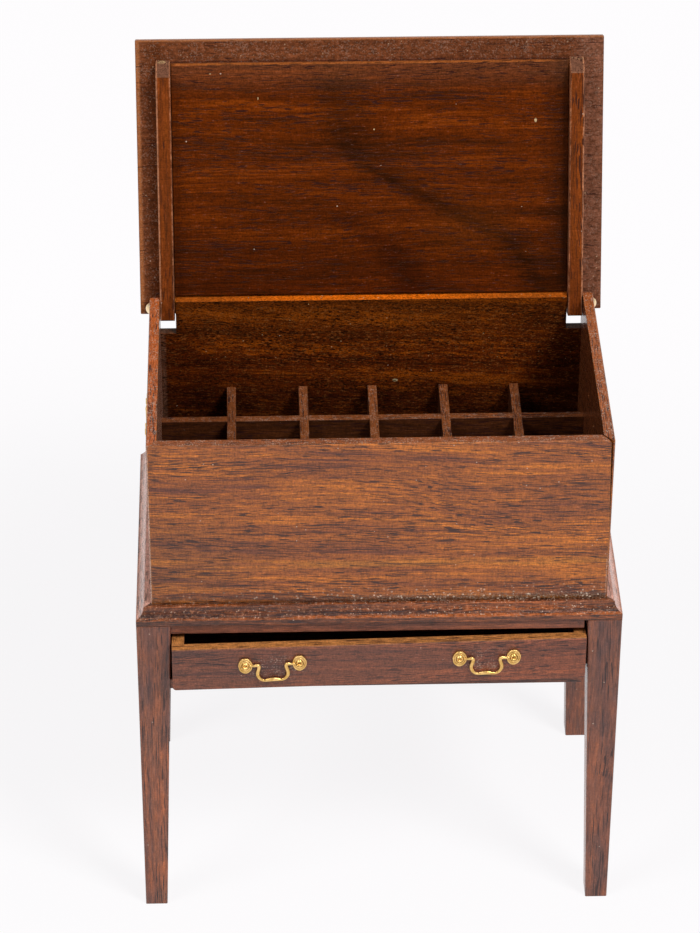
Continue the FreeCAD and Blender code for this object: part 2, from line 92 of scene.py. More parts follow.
def vectors(tree, operation, a, b=(0, 0, 0)):
    """One step on vectors; a dot product or a length comes out as a value."""
    item = add(tree, "ShaderNodeVectorMath", {0: a, 1: b}, operation=operation)
    return item.outputs["Value" if operation in ("DOT_PRODUCT", "LENGTH") else "Vector"]


def product(tree, first, *others):
    """Several values multiplied."""
    for other in others:
        first = sums(tree, "MULTIPLY", first, other)
    return first


def ramp(tree, factor, low, high, from_value=0.0, to_value=1.0):
    """A value that goes smoothly from one level to another as the factor passes low to high."""
    item = add(tree, "ShaderNodeMapRange", {"Value": factor, "From Min": low, "From Max": high,
                                            "To Min": from_value, "To Max": to_value},
               interpolation_type="SMOOTHSTEP", clamp=True)
    return item.outputs["Result"]


def ramp_linear(tree, factor, low, high):
    """A value that goes evenly from 0 to 1 as the factor passes low to high."""
    return add(tree, "ShaderNodeMapRange", {"Value": factor, "From Min": low, "From Max": high},
               clamp=True).outputs["Result"]


def blend_colour(tree, factor, a, b, mode="MIX"):
    """Colour a turning to colour b with the factor."""
    a, b = (colour if is_socket(colour) else (*colour, 1) for colour in (a, b))
    return add(tree, "ShaderNodeMix", {0: factor, MIX_A: a, MIX_B: b}, data_type="RGBA",
               blend_type=mode, clamp_factor=True).outputs[MIX_RESULT]


def shade(tree, colour, amount):
    """A colour made lighter or darker by a value."""
    grey = add(tree, "ShaderNodeCombineColor", {0: amount, 1: amount, 2: amount}).outputs[0]
    return blend_colour(tree, 1.0, colour, grey, "MULTIPLY")


def tint(tree, mask, colour, by):
    """A colour multiplied by another where a mask says so."""
    return blend_colour(tree, mask, colour, blend_colour(tree, 1.0, colour, by, "MULTIPLY"))


def noise(tree, vector, stretch, detail=2.0, roughness=0.5, offset=0.0):
    """Noise on coordinates in mm, stretched by a scale for each axis."""
    place = add(tree, "ShaderNodeMapping", {"Vector": vector, "Scale": stretch,
                                            "Location": (offset, offset * 1.7, offset * 0.6)})
    return add(tree, "ShaderNodeTexNoise",
               {"Vector": place.outputs[0], "Scale": 1.0, "Detail": detail,
                "Roughness": roughness}).outputs["Fac"]


def emptied(tree):
    """A node tree without its nodes."""
    tree.nodes.clear()
    return tree


def new_material(name):
    """A material and its empty node tree."""
    material = bpy.data.materials.new(name)
    material.use_nodes = True
    return material, emptied(material.node_tree)


def coordinates(tree, turn=(0, 0, 0), shift=(0, 0, 0)):
    """The piece's own coordinates in mm, turned so that x runs along the grain."""
    source = add(tree, "ShaderNodeTexCoord").outputs["Object"]
    scaled = add(tree, "ShaderNodeMapping", {"Vector": source, "Scale": (1 / MM,) * 3,
                                             "Rotation": tuple(math.radians(a) for a in turn),
                                             "Location": shift})
    return scaled.outputs[0]


def axes(tree, vector):
    """The three values of a vector."""
    return add(tree, "ShaderNodeSeparateXYZ", {"Vector": vector}).outputs


def facing(tree, direction):
    """1 where the surface looks in a direction of the piece's own axes."""
    normal = add(tree, "ShaderNodeTexCoord").outputs["Normal"]
    dot = vectors(tree, "DOT_PRODUCT", normal, Vector(direction).normalized())
    return ramp(tree, dot, 0.6, 0.9)


def spot(tree, here, centre, reach, soft):
    """1 inside an ellipsoid, fading to 0 over the given share of its reach."""
    share = vectors(tree, "DIVIDE", vectors(tree, "SUBTRACT", here, centre), reach)
    return ramp(tree, vectors(tree, "LENGTH", share), 1.0, 1.0 - soft)


# -------------------- walnut
# Turns that lay a board's grain along x, in degrees.
ALONG_X = (-90, 0, 0)
ALONG_Y = (0, 0, -90)
ALONG_Z = (0, 90, 0)
BACK_WALL_GRAIN = (-90, 0, 4)
CASE_FRONT_GRAIN = (-90, 0, 2)
LID_BOARD_GRAIN = (LID_TILT, 0, 0)
LID_ARM_GRAIN = (LID_TILT, 90, 0)

UP = (0, 0, 1)
FRONT = (0, -1, 0)
REAR = (0, 1, 0)
RIGHT = (1, 0, 0)
LEFT = (-1, 0, 0)
ARRIS_WIDTH = 0.14           # mm
DUST_TONE = (0.62, 0.46, 0.36)


def grain_coordinates(tree, turn, seed):
    """Coordinates along the grain, with the slow wander of real fibres."""
    flat = coordinates(tree, turn, (seed * 37.0, seed * 11.3, seed * 5.1))
    wander = noise(tree, flat, (0.030, 0.12, 0.12), detail=1.0)
    lift = sums(tree, "MULTIPLY_ADD", wander, 3.0, -1.5)
    offset = add(tree, "ShaderNodeCombineXYZ", {"X": 0.0, "Y": lift, "Z": lift}).outputs[0]
    return vectors(tree, "ADD", flat, offset)


def soft_normal(tree):
    """The surface normal with its arrises rounded, and how near the surface is to an arris."""
    rounded = add(tree, "ShaderNodeBevel", {"Radius": ARRIS_WIDTH * MM}, samples=4).outputs[0]
    flat = add(tree, "ShaderNodeNewGeometry").outputs["True Normal"]
    return rounded, ramp(tree, vectors(tree, "DOT_PRODUCT", rounded, flat), 0.995, 0.86)


def lone_specks(tree, share, seed, cells_per_mm=1.7, radius=0.10):
    """Scattered pale specks; share is how many of the cells hold one."""
    spread = coordinates(tree, (0, 0, 0), (seed * 3.1,) * 3)
    cells = add(tree, "ShaderNodeTexVoronoi",
                {"Vector": spread, "Scale": cells_per_mm, "Randomness": 1.0})
    values = add(tree, "ShaderNodeSeparateColor", {"Color": cells.outputs["Color"]}).outputs
    chosen = sums(tree, "LESS_THAN", values[0], share)
    size = ramp(tree, values[1], 0.0, 1.0, 0.25, 1.0)
    close = sums(tree, "LESS_THAN", cells.outputs["Distance"],
                 sums(tree, "MULTIPLY", size, radius * cells_per_mm))
    return sums(tree, "MULTIPLY", chosen, close)


def dust_grains(tree, here, seed):
    """A dense, broken layer of fine pale dust."""
    grains = noise(tree, here, (4.8, 4.8, 4.8), detail=1.0, roughness=0.6, offset=seed)
    drifts = noise(tree, here, (0.8, 0.8, 0.8), detail=2.0, offset=seed + 5)
    level = sums(tree, "MULTIPLY_ADD", drifts, 0.4, grains)
    return ramp(tree, level, 0.76, 0.88)


def pore_mask(tree, grain, level, pores, pore_size, figure, closed):
    """1 in the wood's open pores: short dashes and long fine lines along the grain."""
    cluster = noise(tree, grain, (0.035, 0.55, 0.55), detail=1.0, offset=33.0)
    dashes = noise(tree, grain, (0.40 * figure / pore_size, 7.0 / pore_size, 7.0 / pore_size),
                   detail=0.0, offset=47.0)
    lines = noise(tree, grain, (0.075, 4.2, 4.2), detail=1.0, offset=71.0)
    sparse = sums(tree, "MULTIPLY_ADD", cluster, 0.45,
                  sums(tree, "MULTIPLY_ADD", level, -0.05, dashes))
    dark_dashes = ramp(tree, sparse, 0.88 - 0.045 * pores, 0.93 - 0.045 * pores)
    dark_lines = ramp(tree, lines, 0.64, 0.72, 0.0, 0.55 * min(pores, 1.0))
    mask = sums(tree, "MAXIMUM", dark_dashes, dark_lines)
    for direction in closed:
        mask = sums(tree, "MULTIPLY", mask, sums(tree, "SUBTRACT", 1.0, facing(tree, direction)))
    return mask


def powder_mask(tree, here, seed, specks, dusty):
    """Scattered specks, and a layer of dust on the faces that hold it."""
    powder = sums(tree, "MULTIPLY", lone_specks(tree, specks, seed), 0.75)
    if dusty:
        dust = dust_grains(tree, here, seed)
        for direction, amount in dusty:
            patch = product(tree, facing(tree, direction), dust, amount)
            powder = sums(tree, "MAXIMUM", powder, patch)
    return powder


def walnut(name, turn, seed, deep, mid, light, faces=(), marks=(), dusty=(), pores=1.0,
           pore_size=1.0, pore_tone=(0.030, 0.008, 0.007), contrast=1.0, hatch=1.0, rough=0.42,
           shine=0.5, sheen=(1, 1, 1), wear=0.5, wear_tone=None, specks=0.03, grit=1.0,
           glints=0.25, figure=1.0, coat=0.0, closed=()):
    """Varnished open-pored walnut.  deep, mid and light are its tones; faces recolours the sides
    that look in a direction; marks are features of one board; dusty are faces that hold dust;
    figure shortens the fibres; closed are faces without open pores."""
    material, tree = new_material(name)
    here = coordinates(tree)
    grain = grain_coordinates(tree, turn, seed)
    band = noise(tree, grain, (0.025, 0.40, 0.40), detail=2.0, roughness=0.5)
    streak = noise(tree, grain, (0.08 * figure, 2.8, 2.8), detail=3.0, roughness=0.65, offset=9.0)
    fine = noise(tree, grain, (0.8 * figure, 5.5, 5.5), detail=2.0, roughness=0.6, offset=21.0)
    flecks = noise(tree, grain, (4.5, 0.9, 0.9), detail=1.0, offset=60.0)
    grains = noise(tree, here, (4.4, 4.4, 4.4), detail=1.0, roughness=0.7, offset=seed)

    level = sums(tree, "MULTIPLY_ADD", band, 1.7 * contrast,
                 sums(tree, "MULTIPLY_ADD", streak, 2.1 * contrast, 0.5 - 1.9 * contrast))
    low = blend_colour(tree, ramp(tree, level, 0.0, 0.5), deep, mid)
    colour = blend_colour(tree, ramp(tree, level, 0.5, 1.0), low, light)
    for direction, tone in faces:
        colour = blend_colour(tree, facing(tree, direction), colour, tone)
    for mark in marks:
        colour = mark(tree, colour, here)
    texture = sums(tree, "MULTIPLY_ADD", fine, 1.7 * contrast,
                   sums(tree, "MULTIPLY_ADD", flecks, 0.55 * hatch,
                        1.0 - 0.85 * contrast - 0.275 * hatch - 0.55 * grit))
    texture = sums(tree, "MULTIPLY_ADD", grains, 1.1 * grit, texture)
    colour = shade(tree, colour, texture)

    open_pores = pore_mask(tree, grain, level, pores, pore_size, figure, closed)
    colour = blend_colour(tree, sums(tree, "MULTIPLY", open_pores, 0.9), colour, pore_tone)
    # Painted glints: pale specks along the fine grain, standing in for light caught in the pores.
    glint = product(tree, ramp(tree, fine, 0.60, 0.72, 0.0, glints), ramp(tree, grains, 0.5, 0.7))
    colour = blend_colour(tree, glint, colour, tuple(1.2 * c + 0.12 for c in mid))
    normal, arris = soft_normal(tree)
    worn = product(tree, arris, ramp(tree, streak, 0.35, 0.6, 0.35 * wear, wear))
    colour = blend_colour(tree, worn, colour, wear_tone or tuple(1.35 * c + 0.02 for c in light))
    powder = powder_mask(tree, here, seed, specks, dusty)
    colour = blend_colour(tree, powder, colour, DUST_TONE)

    roughness = ramp(tree, fine, 0.3, 0.7, rough - 0.05, rough + 0.08)
    height = sums(tree, "MULTIPLY_ADD", open_pores, -1.0, sums(tree, "MULTIPLY", fine, 0.8))
    height = sums(tree, "ADD", height, powder)
    bump = add(tree, "ShaderNodeBump", {"Height": height, "Strength": 0.4, "Distance": 0.05 * MM,
                                        "Normal": normal})
    shader = add(tree, "ShaderNodeBsdfPrincipled",
                 {"Base Color": colour, "Roughness": roughness, "IOR": 1.5,
                  "Specular IOR Level": shine, "Specular Tint": (*sheen, 1),
                  "Coat Weight": coat, "Coat IOR": 2.0, "Coat Roughness": 0.22,
                  "Normal": bump.outputs[0]})
    add(tree, "ShaderNodeOutputMaterial", {"Surface": shader.outputs[0]})
    return material


def dress(node, material):
    """Gives a carried-over node one finish all over."""
    slots = NODES[node].data.materials
    slots.clear()
    slots.append(material)


# -------------------- tones of the marks
GOLDEN_STRIPE = (0.46, 0.155, 0.016)
# Painted highlight on the case front's right arris.
RIGHT_ARRIS_HIGHLIGHT = (0.62, 0.40, 0.32)
# Painted highlight on the left wall's front arris.
LEFT_ARRIS_HIGHLIGHT = (0.60, 0.37, 0.29)
GREY_DUST = (0.34, 0.25, 0.18)
FOOT_CRUMBS = (0.66, 0.50, 0.38)
OLD_VARNISH = (0.20, 0.070, 0.022)
WALL_CRUMBS = (0.56, 0.31, 0.15)
# Painted highlight where the moulding's upright band meets its cove.
COVE_FOOT_HIGHLIGHT = (0.42, 0.105, 0.020)
COVE_HEAPS = (0.42, 0.175, 0.085)
COVE_SPECKS = (0.66, 0.48, 0.36)
# Painted reflection: pale haze on the side mouldings' coves and ledges.
COVE_PAINTED_REFLECTION = (0.80, 0.40, 0.30)
PANEL_GLOW = (0.16, 0.036, 0.004)
PANEL_HAZE = (0.17, 0.070, 0.035)
# Painted highlight along the lid panel's lower edge.
PANEL_FOOT_HIGHLIGHT = (0.50, 0.16, 0.020)
# Painted highlight on the lid panel's worn top arris.
PANEL_TOP_ARRIS_HIGHLIGHT = (0.34, 0.095, 0.022)
PANEL_FLECK = (0.55, 0.38, 0.20)
# Painted light: bright orange on the lid board in the shaded gap under the panel.
LID_GAP_PAINTED_LIGHT = (0.90, 0.30, 0.030)
LID_BLOOM = (0.34, 0.17, 0.12)
LID_GRAINS = (0.52, 0.33, 0.20)
LID_PALE_EDGE = (0.38, 0.13, 0.045)
# Worn arrises of the lid arms, with a painted highlight.
ARM_EDGE_WEAR_AND_HIGHLIGHT = (0.50, 0.215, 0.110)
GLUE = (0.50, 0.33, 0.16)
BACK_AMBER = (0.88, 0.17, 0.005)
BACK_TAN = (0.24, 0.085, 0.022)
BACK_STAIN = (0.15, 0.070, 0.042)
# Painted light on the upper back wall.
BACK_PAINTED_LIGHT = (0.17, 0.045, 0.004)
BACK_SPECKS = (0.60, 0.42, 0.22)
BEIGE_FLAKE = (0.42, 0.32, 0.17)

# These multiply the colour of the wood.
DULL_END = (0.74, 0.80, 1.1)
# Painted shade in the crevice at the case front's foot.
FOOT_CREVICE_SHADE = (0.35, 0.40, 0.6)
# Painted shade on the ledge where the case stands on it.
LEDGE_CONTACT_SHADE = (0.30, 0.34, 0.5)
COVE_SHADE = (0.42, 0.45, 0.6)
COVE_GAPS = (0.45, 0.42, 0.5)
HEARTWOOD = (0.52, 0.54, 0.62)
HEARTWOOD_CORE = (0.60, 0.62, 0.8)
HEARTWOOD_BESIDE = (0.55, 0.5, 0.7)
PANEL_FOOT_SHADE = (0.64, 0.58, 0.40)
PANEL_RIGHT_SHADE = (0.45, 0.46, 0.75)
# Painted shadow on the lid board just above the panel.
SHADOW_ABOVE_PANEL = (0.45, 0.45, 0.7)
# Painted shadow of the left arm on the lid board.
SHADOW_BESIDE_ARM = (0.55, 0.42, 0.2)
NOTCH_SHADE = (0.16, 0.22, 0.9)
BACK_LOW_SHADE = (0.50, 0.52, 0.9)
BACK_CORNER_SHADE = (0.42, 0.40, 0.7)
LEG_TAN = (1.28, 1.16, 0.95)
LEG_GREY = (0.74, 0.84, 1.02)
LEG_TOP_DULL = (0.80, 0.87, 1.0)
PULL_GRIME = (0.80, 0.78, 0.88)
DRAWER_WARM_END = (1.22, 1.10, 0.98)

# The lid's dark figure: how far up the lid, against how far to the right.
FIGURE_SPAN = (76.0, 110.0)
FIGURE_CURVE = ((0.0, 1.0), (0.06, 1.0), (0.24, 0.90), (0.36, 0.72), (0.48, 0.55), (0.56, 0.44),
                (0.66, 0.385), (0.80, 0.36), (1.0, 0.33))
# Each fleck's middle on the lid, and its reach.
PANEL_FLECKS = (((22.0, 0.0, 100.4), (0.20, 200.0, 0.34)),
                ((-21.2, 0.0, 107.1), (0.13, 200.0, 0.13)),
                ((-14.9, 0.0, 103.7), (0.10, 200.0, 0.20)),
                ((0.5, 0.0, 99.4), (0.13, 200.0, 0.13)))


# -------------------- marks on single boards
def outer_figure(tree, colour, along):
    """The broad streaks of an outer face; along has its x down the grain."""
    streaks = noise(tree, along, (0.05, 1.0, 1.6), detail=3.0, roughness=0.6, offset=80.0)
    return shade(tree, colour, ramp(tree, streaks, 0.30, 0.70, 0.55, 1.5))


def case_front_marks(tree, colour, here):
    """A bright stripe low on the board, a dull left end, a painted highlight on the right arris,
    painted shade in the crevice at the foot, and a dusty foot.
    """
    x, _, z = axes(tree, here)
    ripple = noise(tree, here, (0.06, 0.5, 1.6), offset=3.0)
    height = sums(tree, "MULTIPLY_ADD", ripple, 1.6, z)
    stripe = product(tree, ramp(tree, height, LEDGE + 6.0, LEDGE + 6.7),
                     ramp(tree, height, LEDGE + 7.8, LEDGE + 7.1),
                     ramp(tree, x, -25.0, -14.0), ramp(tree, ripple, 0.35, 0.55), 0.65)
    colour = blend_colour(tree, stripe, colour, GOLDEN_STRIPE)
    dull = spot(tree, here, (-27.0, CASE_FRONT, LEDGE + 6.6), (17.0, 9.0, 11.0), 0.9)
    colour = tint(tree, dull, colour, DULL_END)
    # Painted highlight down the lower part of the right arris.
    arris = product(tree, ramp(tree, x, CASE_HALF - 0.38, CASE_HALF - 0.2),
                    ramp(tree, z, LEDGE + 7.6, LEDGE + 6.1), 0.6)
    colour = blend_colour(tree, arris, colour, RIGHT_ARRIS_HIGHLIGHT)
    # Painted shade in the crevice where the board stands on the ledge, stronger to the right.
    grime_and_shade = product(tree, ramp(tree, z, LEDGE + 1.3, LEDGE + 0.2),
                    ramp(tree, x, -25.0, 8.0, 0.5, 1.0))
    colour = tint(tree, grime_and_shade, colour, FOOT_CREVICE_SHADE)
    clumps = noise(tree, here, (4.5, 4.5, 4.5), roughness=0.7, offset=2.0)
    grey = product(tree, ramp(tree, z, LEDGE + 1.5, LEDGE + 0.3),
                   ramp(tree, x, -14.0, 8.0, 0.25, 1.0), ramp(tree, clumps, 0.48, 0.64), 0.8)
    colour = blend_colour(tree, grey, colour, GREY_DUST)
    crumbs = product(tree, ramp(tree, z, LEDGE + 3.2, LEDGE + 0.2),
                     ramp(tree, x, -28.0, 8.0, 0.35, 1.0),
                     lone_specks(tree, 0.65, 7.0, 2.3, 0.14), 0.85)
    return blend_colour(tree, crumbs, colour, FOOT_CRUMBS)


def side_wall_marks(tree, colour, here):
    """Runs of old varnish and beige crumbs on the inner faces."""
    across = sums(tree, "ABSOLUTE", axes(tree, here)[0])
    inner_face = CASE_HALF - CASE_WALL
    runs = noise(tree, here, (0.6, 2.2, 0.35), roughness=0.6, offset=8.0)
    inner = ramp(tree, across, inner_face + 0.15, inner_face + 0.01)
    varnish = product(tree, inner, ramp(tree, runs, 0.48, 0.66), 0.5)
    colour = blend_colour(tree, varnish, colour, OLD_VARNISH)
    crumbs = product(tree, inner, lone_specks(tree, 0.45, 6.0, 1.1, 0.26), 0.85)
    return blend_colour(tree, crumbs, colour, WALL_CRUMBS)


def left_arris_highlight(tree, colour, here):
    """A painted highlight along the left wall's arris, at the front corner."""
    y = axes(tree, here)[1]
    worn = ramp(tree, y, CASE_FRONT + 0.17, CASE_FRONT + 0.07, 0.0, 0.85)
    return blend_colour(tree, worn, colour, LEFT_ARRIS_HIGHLIGHT)


def back_wall_marks(tree, colour, here):
    """An amber top edge, painted shade in the notches and low down and to the right, painted light
    high up, tan flecks, a stain at the left, white specks, one beige flake of wood, and a plainer
    outer face."""
    x, _, z = axes(tree, here)
    outside = outer_figure(tree, colour, here)
    top = facing(tree, UP)
    below_edge = ramp(tree, z, *reversed(BACK_EDGE))
    notch = product(tree, ramp(tree, z, *NOTCH_FLOOR), top)
    colour = tint(tree, notch, colour, NOTCH_SHADE)
    amber = product(tree, ramp(tree, z, *BACK_EDGE), top, ramp(tree, x, -24.0, -8.0),
                    ramp(tree, x, 22.0, 6.0))
    colour = blend_colour(tree, amber, colour, BACK_AMBER)
    low = sums(tree, "SUBTRACT", 1.0, ramp(tree, z, 58.0, 65.0))
    colour = tint(tree, low, colour, BACK_LOW_SHADE)
    corner = product(tree, ramp(tree, x, 16.0, 27.5), below_edge)
    colour = tint(tree, corner, colour, BACK_CORNER_SHADE)
    flecks = noise(tree, here, (1.9, 1.9, 6.5), detail=1.0, roughness=0.6, offset=40.0)
    tan = product(tree, ramp(tree, flecks, 0.56, 0.66), ramp(tree, z, 60.0, 70.0, 0.3, 0.6),
                  below_edge)
    colour = blend_colour(tree, tan, colour, BACK_TAN)
    stain = product(tree, ramp(tree, x, -27.6, -28.0), ramp(tree, flecks, 0.40, 0.60, 0.35, 0.9))
    colour = blend_colour(tree, stain, colour, BACK_STAIN)
    # Painted light on the upper wall, weaker towards the right.
    glow = product(tree, ramp(tree, z, 66.0, 75.0), ramp(tree, x, 30.0, 10.0, 0.3, 1.0), 0.35)
    colour = blend_colour(tree, glow, colour, BACK_PAINTED_LIGHT)
    specks = product(tree, lone_specks(tree, 0.25, 31.0, 1.6, 0.11),
                     ramp(tree, z, 63.0, 70.0), 0.8)
    colour = blend_colour(tree, specks, colour, BACK_SPECKS)
    flake = spot(tree, here, (3.3, 17.1, 62.0), (0.40, 5.0, 0.24), 0.2)
    colour = blend_colour(tree, flake, colour, BEIGE_FLAKE)
    return blend_colour(tree, facing(tree, REAR), colour, outside)


def moulding_marks(tree, colour, here):
    """Painted shade where the case stands on the ledge, a painted highlight and painted shade in
    stripes along the foot of the cove, and crumbs along the cove.
    """
    x, y, z = axes(tree, here)
    # Painted shade on the ledge just in front of the case's foot.
    grime_and_shade = product(tree, ramp(tree, y, CASE_FRONT - 0.42, CASE_FRONT - 0.05),
                    ramp(tree, z, LEDGE - 0.2, LEDGE - 0.02))
    colour = tint(tree, grime_and_shade, colour, LEDGE_CONTACT_SHADE)
    ripple = noise(tree, here, (0.12, 0.5, 0.5), detail=3.0, roughness=0.6, offset=15.0)
    height = sums(tree, "MULTIPLY_ADD", ripple, 0.5, sums(tree, "SUBTRACT", z, 0.25))
    # A painted highlight along the foot of the cove, and painted shade just above it.
    bright = product(tree, ramp(tree, height, COVE_FOOT - 0.18, COVE_FOOT - 0.04),
                     ramp(tree, height, COVE_FOOT + 0.24, COVE_FOOT + 0.08),
                     ramp(tree, x, -30.0, 6.0, 0.35, 0.85))
    colour = blend_colour(tree, bright, colour, COVE_FOOT_HIGHLIGHT)
    dark = product(tree, ramp(tree, height, COVE_FOOT + 0.2, COVE_FOOT + 0.3),
                   ramp(tree, height, COVE_FOOT + 0.6, COVE_FOOT + 0.4), 0.6)
    colour = tint(tree, dark, colour, COVE_SHADE)
    crumbs = noise(tree, here, (3.0, 3.4, 3.4), roughness=0.7, offset=52.0)
    above = ramp(tree, z, COVE_FOOT - 0.4, COVE_FOOT)
    gaps = product(tree, ramp(tree, crumbs, 0.46, 0.36), above, 0.7)
    colour = tint(tree, gaps, colour, COVE_GAPS)
    heaps = product(tree, ramp(tree, crumbs, 0.54, 0.66), above, 0.45)
    colour = blend_colour(tree, heaps, colour, COVE_HEAPS)
    specks = product(tree, lone_specks(tree, 0.7, 12.0, 3.2, 0.09), above,
                     ramp(tree, x, -28.0, 6.0, 0.5, 1.0), 0.7)
    return blend_colour(tree, specks, colour, COVE_SPECKS)


def painted_cove_reflection(tree, colour, here):
    """A painted reflection: a pale haze on the side mouldings' coves and ledges."""
    z = axes(tree, here)[2]
    mottle = noise(tree, here, (1.5, 0.5, 1.5), detail=3.0, roughness=0.65, offset=19.0)
    haze = product(tree, ramp(tree, z, COVE_FOOT - 0.1, COVE_FOOT + 0.2),
                   ramp(tree, mottle, 0.30, 0.65, 0.6, 0.95))
    return blend_colour(tree, haze, colour, COVE_PAINTED_REFLECTION)


def lid_figure(tree, colour, here):
    """The dark heartwood figure that runs down and across the lid's inner panel, with the panel's
    darker foot, a painted shadow of the arm at its right end, painted highlights on its lower edge
    and on its worn top arris, a haze along its top, and a few pale flecks."""
    flat = coordinates(tree, LID_BOARD_GRAIN)
    x, _, up = axes(tree, flat)
    ripple = noise(tree, flat, (0.10, 0.5, 2.6), detail=3.0, roughness=0.65, offset=12.0)
    shift = sums(tree, "MULTIPLY_ADD", ripple, 9.0, -4.5)
    curve = add(tree, "ShaderNodeFloatCurve", {"Value": ramp_linear(tree, up, *FIGURE_SPAN)})
    points = curve.mapping.curves[0].points
    for place, value in FIGURE_CURVE[1:-1]:
        points.new(place, value)
    points[0].location, points[-1].location = FIGURE_CURVE[0], FIGURE_CURVE[-1]
    curve.mapping.update()
    middle = sums(tree, "MULTIPLY_ADD", curve.outputs[0], 42.0, -20.0)
    across = sums(tree, "SUBTRACT", sums(tree, "ADD", x, shift), middle)
    band = product(tree, ramp(tree, across, -4.2, 0.8), ramp(tree, across, 7.5, 0.5),
                   ramp(tree, up, 110.0, 99.0, 0.7, 1.0))
    colour = tint(tree, band, colour, HEARTWOOD)
    core = product(tree, ramp(tree, across, -1.6, 0.1), ramp(tree, across, 1.8, 0.6),
                   ramp(tree, up, 101.0, 96.0))
    colour = tint(tree, core, colour, HEARTWOOD_CORE)
    second = product(tree, ramp(tree, across, -21.0, -16.5), ramp(tree, across, -12.0, -16.0),
                     ramp(tree, up, 91.0, 84.0))
    colour = tint(tree, second, colour, HEARTWOOD_BESIDE)
    foot = product(tree, ramp(tree, up, 92.0, 82.0), ramp(tree, x, 26.0, -4.0, 0.35, 0.8))
    colour = tint(tree, foot, colour, PANEL_FOOT_SHADE)
    # Painted shadow of the right arm on the panel.
    arm_shadow = ramp(tree, x, PANEL_HALF - 5.0, PANEL_HALF - 0.3)
    colour = tint(tree, arm_shadow, colour, PANEL_RIGHT_SHADE)
    glow = spot(tree, flat, (13.0, 0.0, 86.0), (9.0, 200.0, 5.0), 0.9)
    colour = blend_colour(tree, sums(tree, "MULTIPLY", glow, 0.25), colour, PANEL_GLOW)
    haze = ramp(tree, up, PANEL_TOP - 4.7, PANEL_TOP, 0.0, 0.30)
    colour = blend_colour(tree, haze, colour, PANEL_HAZE)
    # Painted highlight along the panel's lower edge.
    edge = ramp(tree, up, PANEL_FOOT + 0.08, PANEL_FOOT - 0.02, 0.0, 0.8)
    colour = blend_colour(tree, edge, colour, PANEL_FOOT_HIGHLIGHT)
    # Painted highlight on the panel's worn top arris.
    line = product(tree, ramp(tree, up, PANEL_TOP - 0.04, PANEL_TOP + 0.04),
                   ramp(tree, x, -PANEL_HALF, 1.0 - PANEL_HALF), ramp(tree, x, 26.0, 22.0), 0.8)
    colour = blend_colour(tree, line, colour, PANEL_TOP_ARRIS_HIGHLIGHT)
    for place, reach in PANEL_FLECKS:
        colour = blend_colour(tree, spot(tree, flat, place, reach, 0.3), colour, PANEL_FLECK)
    return colour


def lid_border_marks(tree, colour, here):
    """Mottled varnish, painted shadows above the panel and beside the left arm, painted light in
    the shaded gap under the panel, bloom at the right, paler left and top edges, and a plainer
    outer face."""
    flat = coordinates(tree, LID_BOARD_GRAIN)
    x, _, up = axes(tree, flat)
    across = sums(tree, "ABSOLUTE", x)
    outside = outer_figure(tree, colour, flat)
    mottle = noise(tree, flat, (1.1, 1.1, 2.2), detail=4.0, roughness=0.7, offset=4.0)
    colour = shade(tree, colour, ramp(tree, mottle, 0.32, 0.68, 0.66, 1.45))
    # Painted shadow just above the panel's top edge.
    above = product(tree, ramp(tree, up, PANEL_TOP - 0.05, PANEL_TOP + 0.1),
                    ramp(tree, up, PANEL_TOP + 0.6, PANEL_TOP + 0.25),
                    ramp(tree, across, PANEL_HALF + 0.5, PANEL_HALF - 0.5))
    colour = tint(tree, above, colour, SHADOW_ABOVE_PANEL)
    # Painted shadow of the left arm on the board beside it.
    arm_shadow = product(tree, ramp(tree, x, -29.6, -28.6), ramp(tree, x, -27.0, -28.0), 0.6)
    colour = tint(tree, arm_shadow, colour, SHADOW_BESIDE_ARM)
    # Painted light: the board in the gap under the panel's foot, coloured as if lit.
    gap_light = product(tree, ramp(tree, up, PANEL_FOOT + 0.05, PANEL_FOOT - 0.05),
                   ramp(tree, up, PANEL_FOOT - 1.9, PANEL_FOOT - 1.4),
                   ramp(tree, across, PANEL_HALF, PANEL_HALF - 0.1))
    colour = blend_colour(tree, gap_light, colour, LID_GAP_PAINTED_LIGHT)
    bloom = product(tree, ramp(tree, x, PANEL_HALF + 0.1, PANEL_HALF + 2.0),
                    ramp(tree, mottle, 0.30, 0.65, 0.05, 0.28))
    colour = blend_colour(tree, bloom, colour, LID_BLOOM)
    grains = sums(tree, "MULTIPLY", lone_specks(tree, 0.10, 41.0, 2.4, 0.10), 0.6)
    colour = blend_colour(tree, grains, colour, LID_GRAINS)
    pale = sums(tree, "MAXIMUM", ramp(tree, x, -30.3, -30.75), ramp(tree, up, 111.15, 111.45))
    colour = blend_colour(tree, sums(tree, "MULTIPLY", pale, 0.7), colour, LID_PALE_EDGE)
    return blend_colour(tree, facing(tree, LID_OUTER_WAY), colour, outside)


def arm_marks(tree, colour, here):
    """Worn tan lines with a painted highlight along an arm's two long edges, and old glue at its
    tip.
    """
    x, _, up = axes(tree, coordinates(tree, LID_BOARD_GRAIN))
    across = sums(tree, "ABSOLUTE", x)
    broken = noise(tree, here, (1.0, 1.6, 1.6), detail=3.0, roughness=0.7, offset=27.0)
    outer = product(tree, ramp(tree, across, 28.14, 28.22),
                    ramp(tree, broken, 0.34, 0.5, 0.4, 1.0))
    inner = product(tree, ramp(tree, across, PANEL_HALF + 0.14, PANEL_HALF + 0.08),
                    ramp(tree, broken, 0.42, 0.6, 0.2, 0.8))
    edges = sums(tree, "MULTIPLY", sums(tree, "MAXIMUM", outer, inner), 0.8)
    colour = blend_colour(tree, edges, colour, ARM_EDGE_WEAR_AND_HIGHLIGHT)
    glue = product(tree, ramp(tree, up, PANEL_TOP + 0.1, PANEL_TOP + 0.6),
                   ramp(tree, broken, 0.5, 0.6))
    return blend_colour(tree, glue, colour, GLUE)


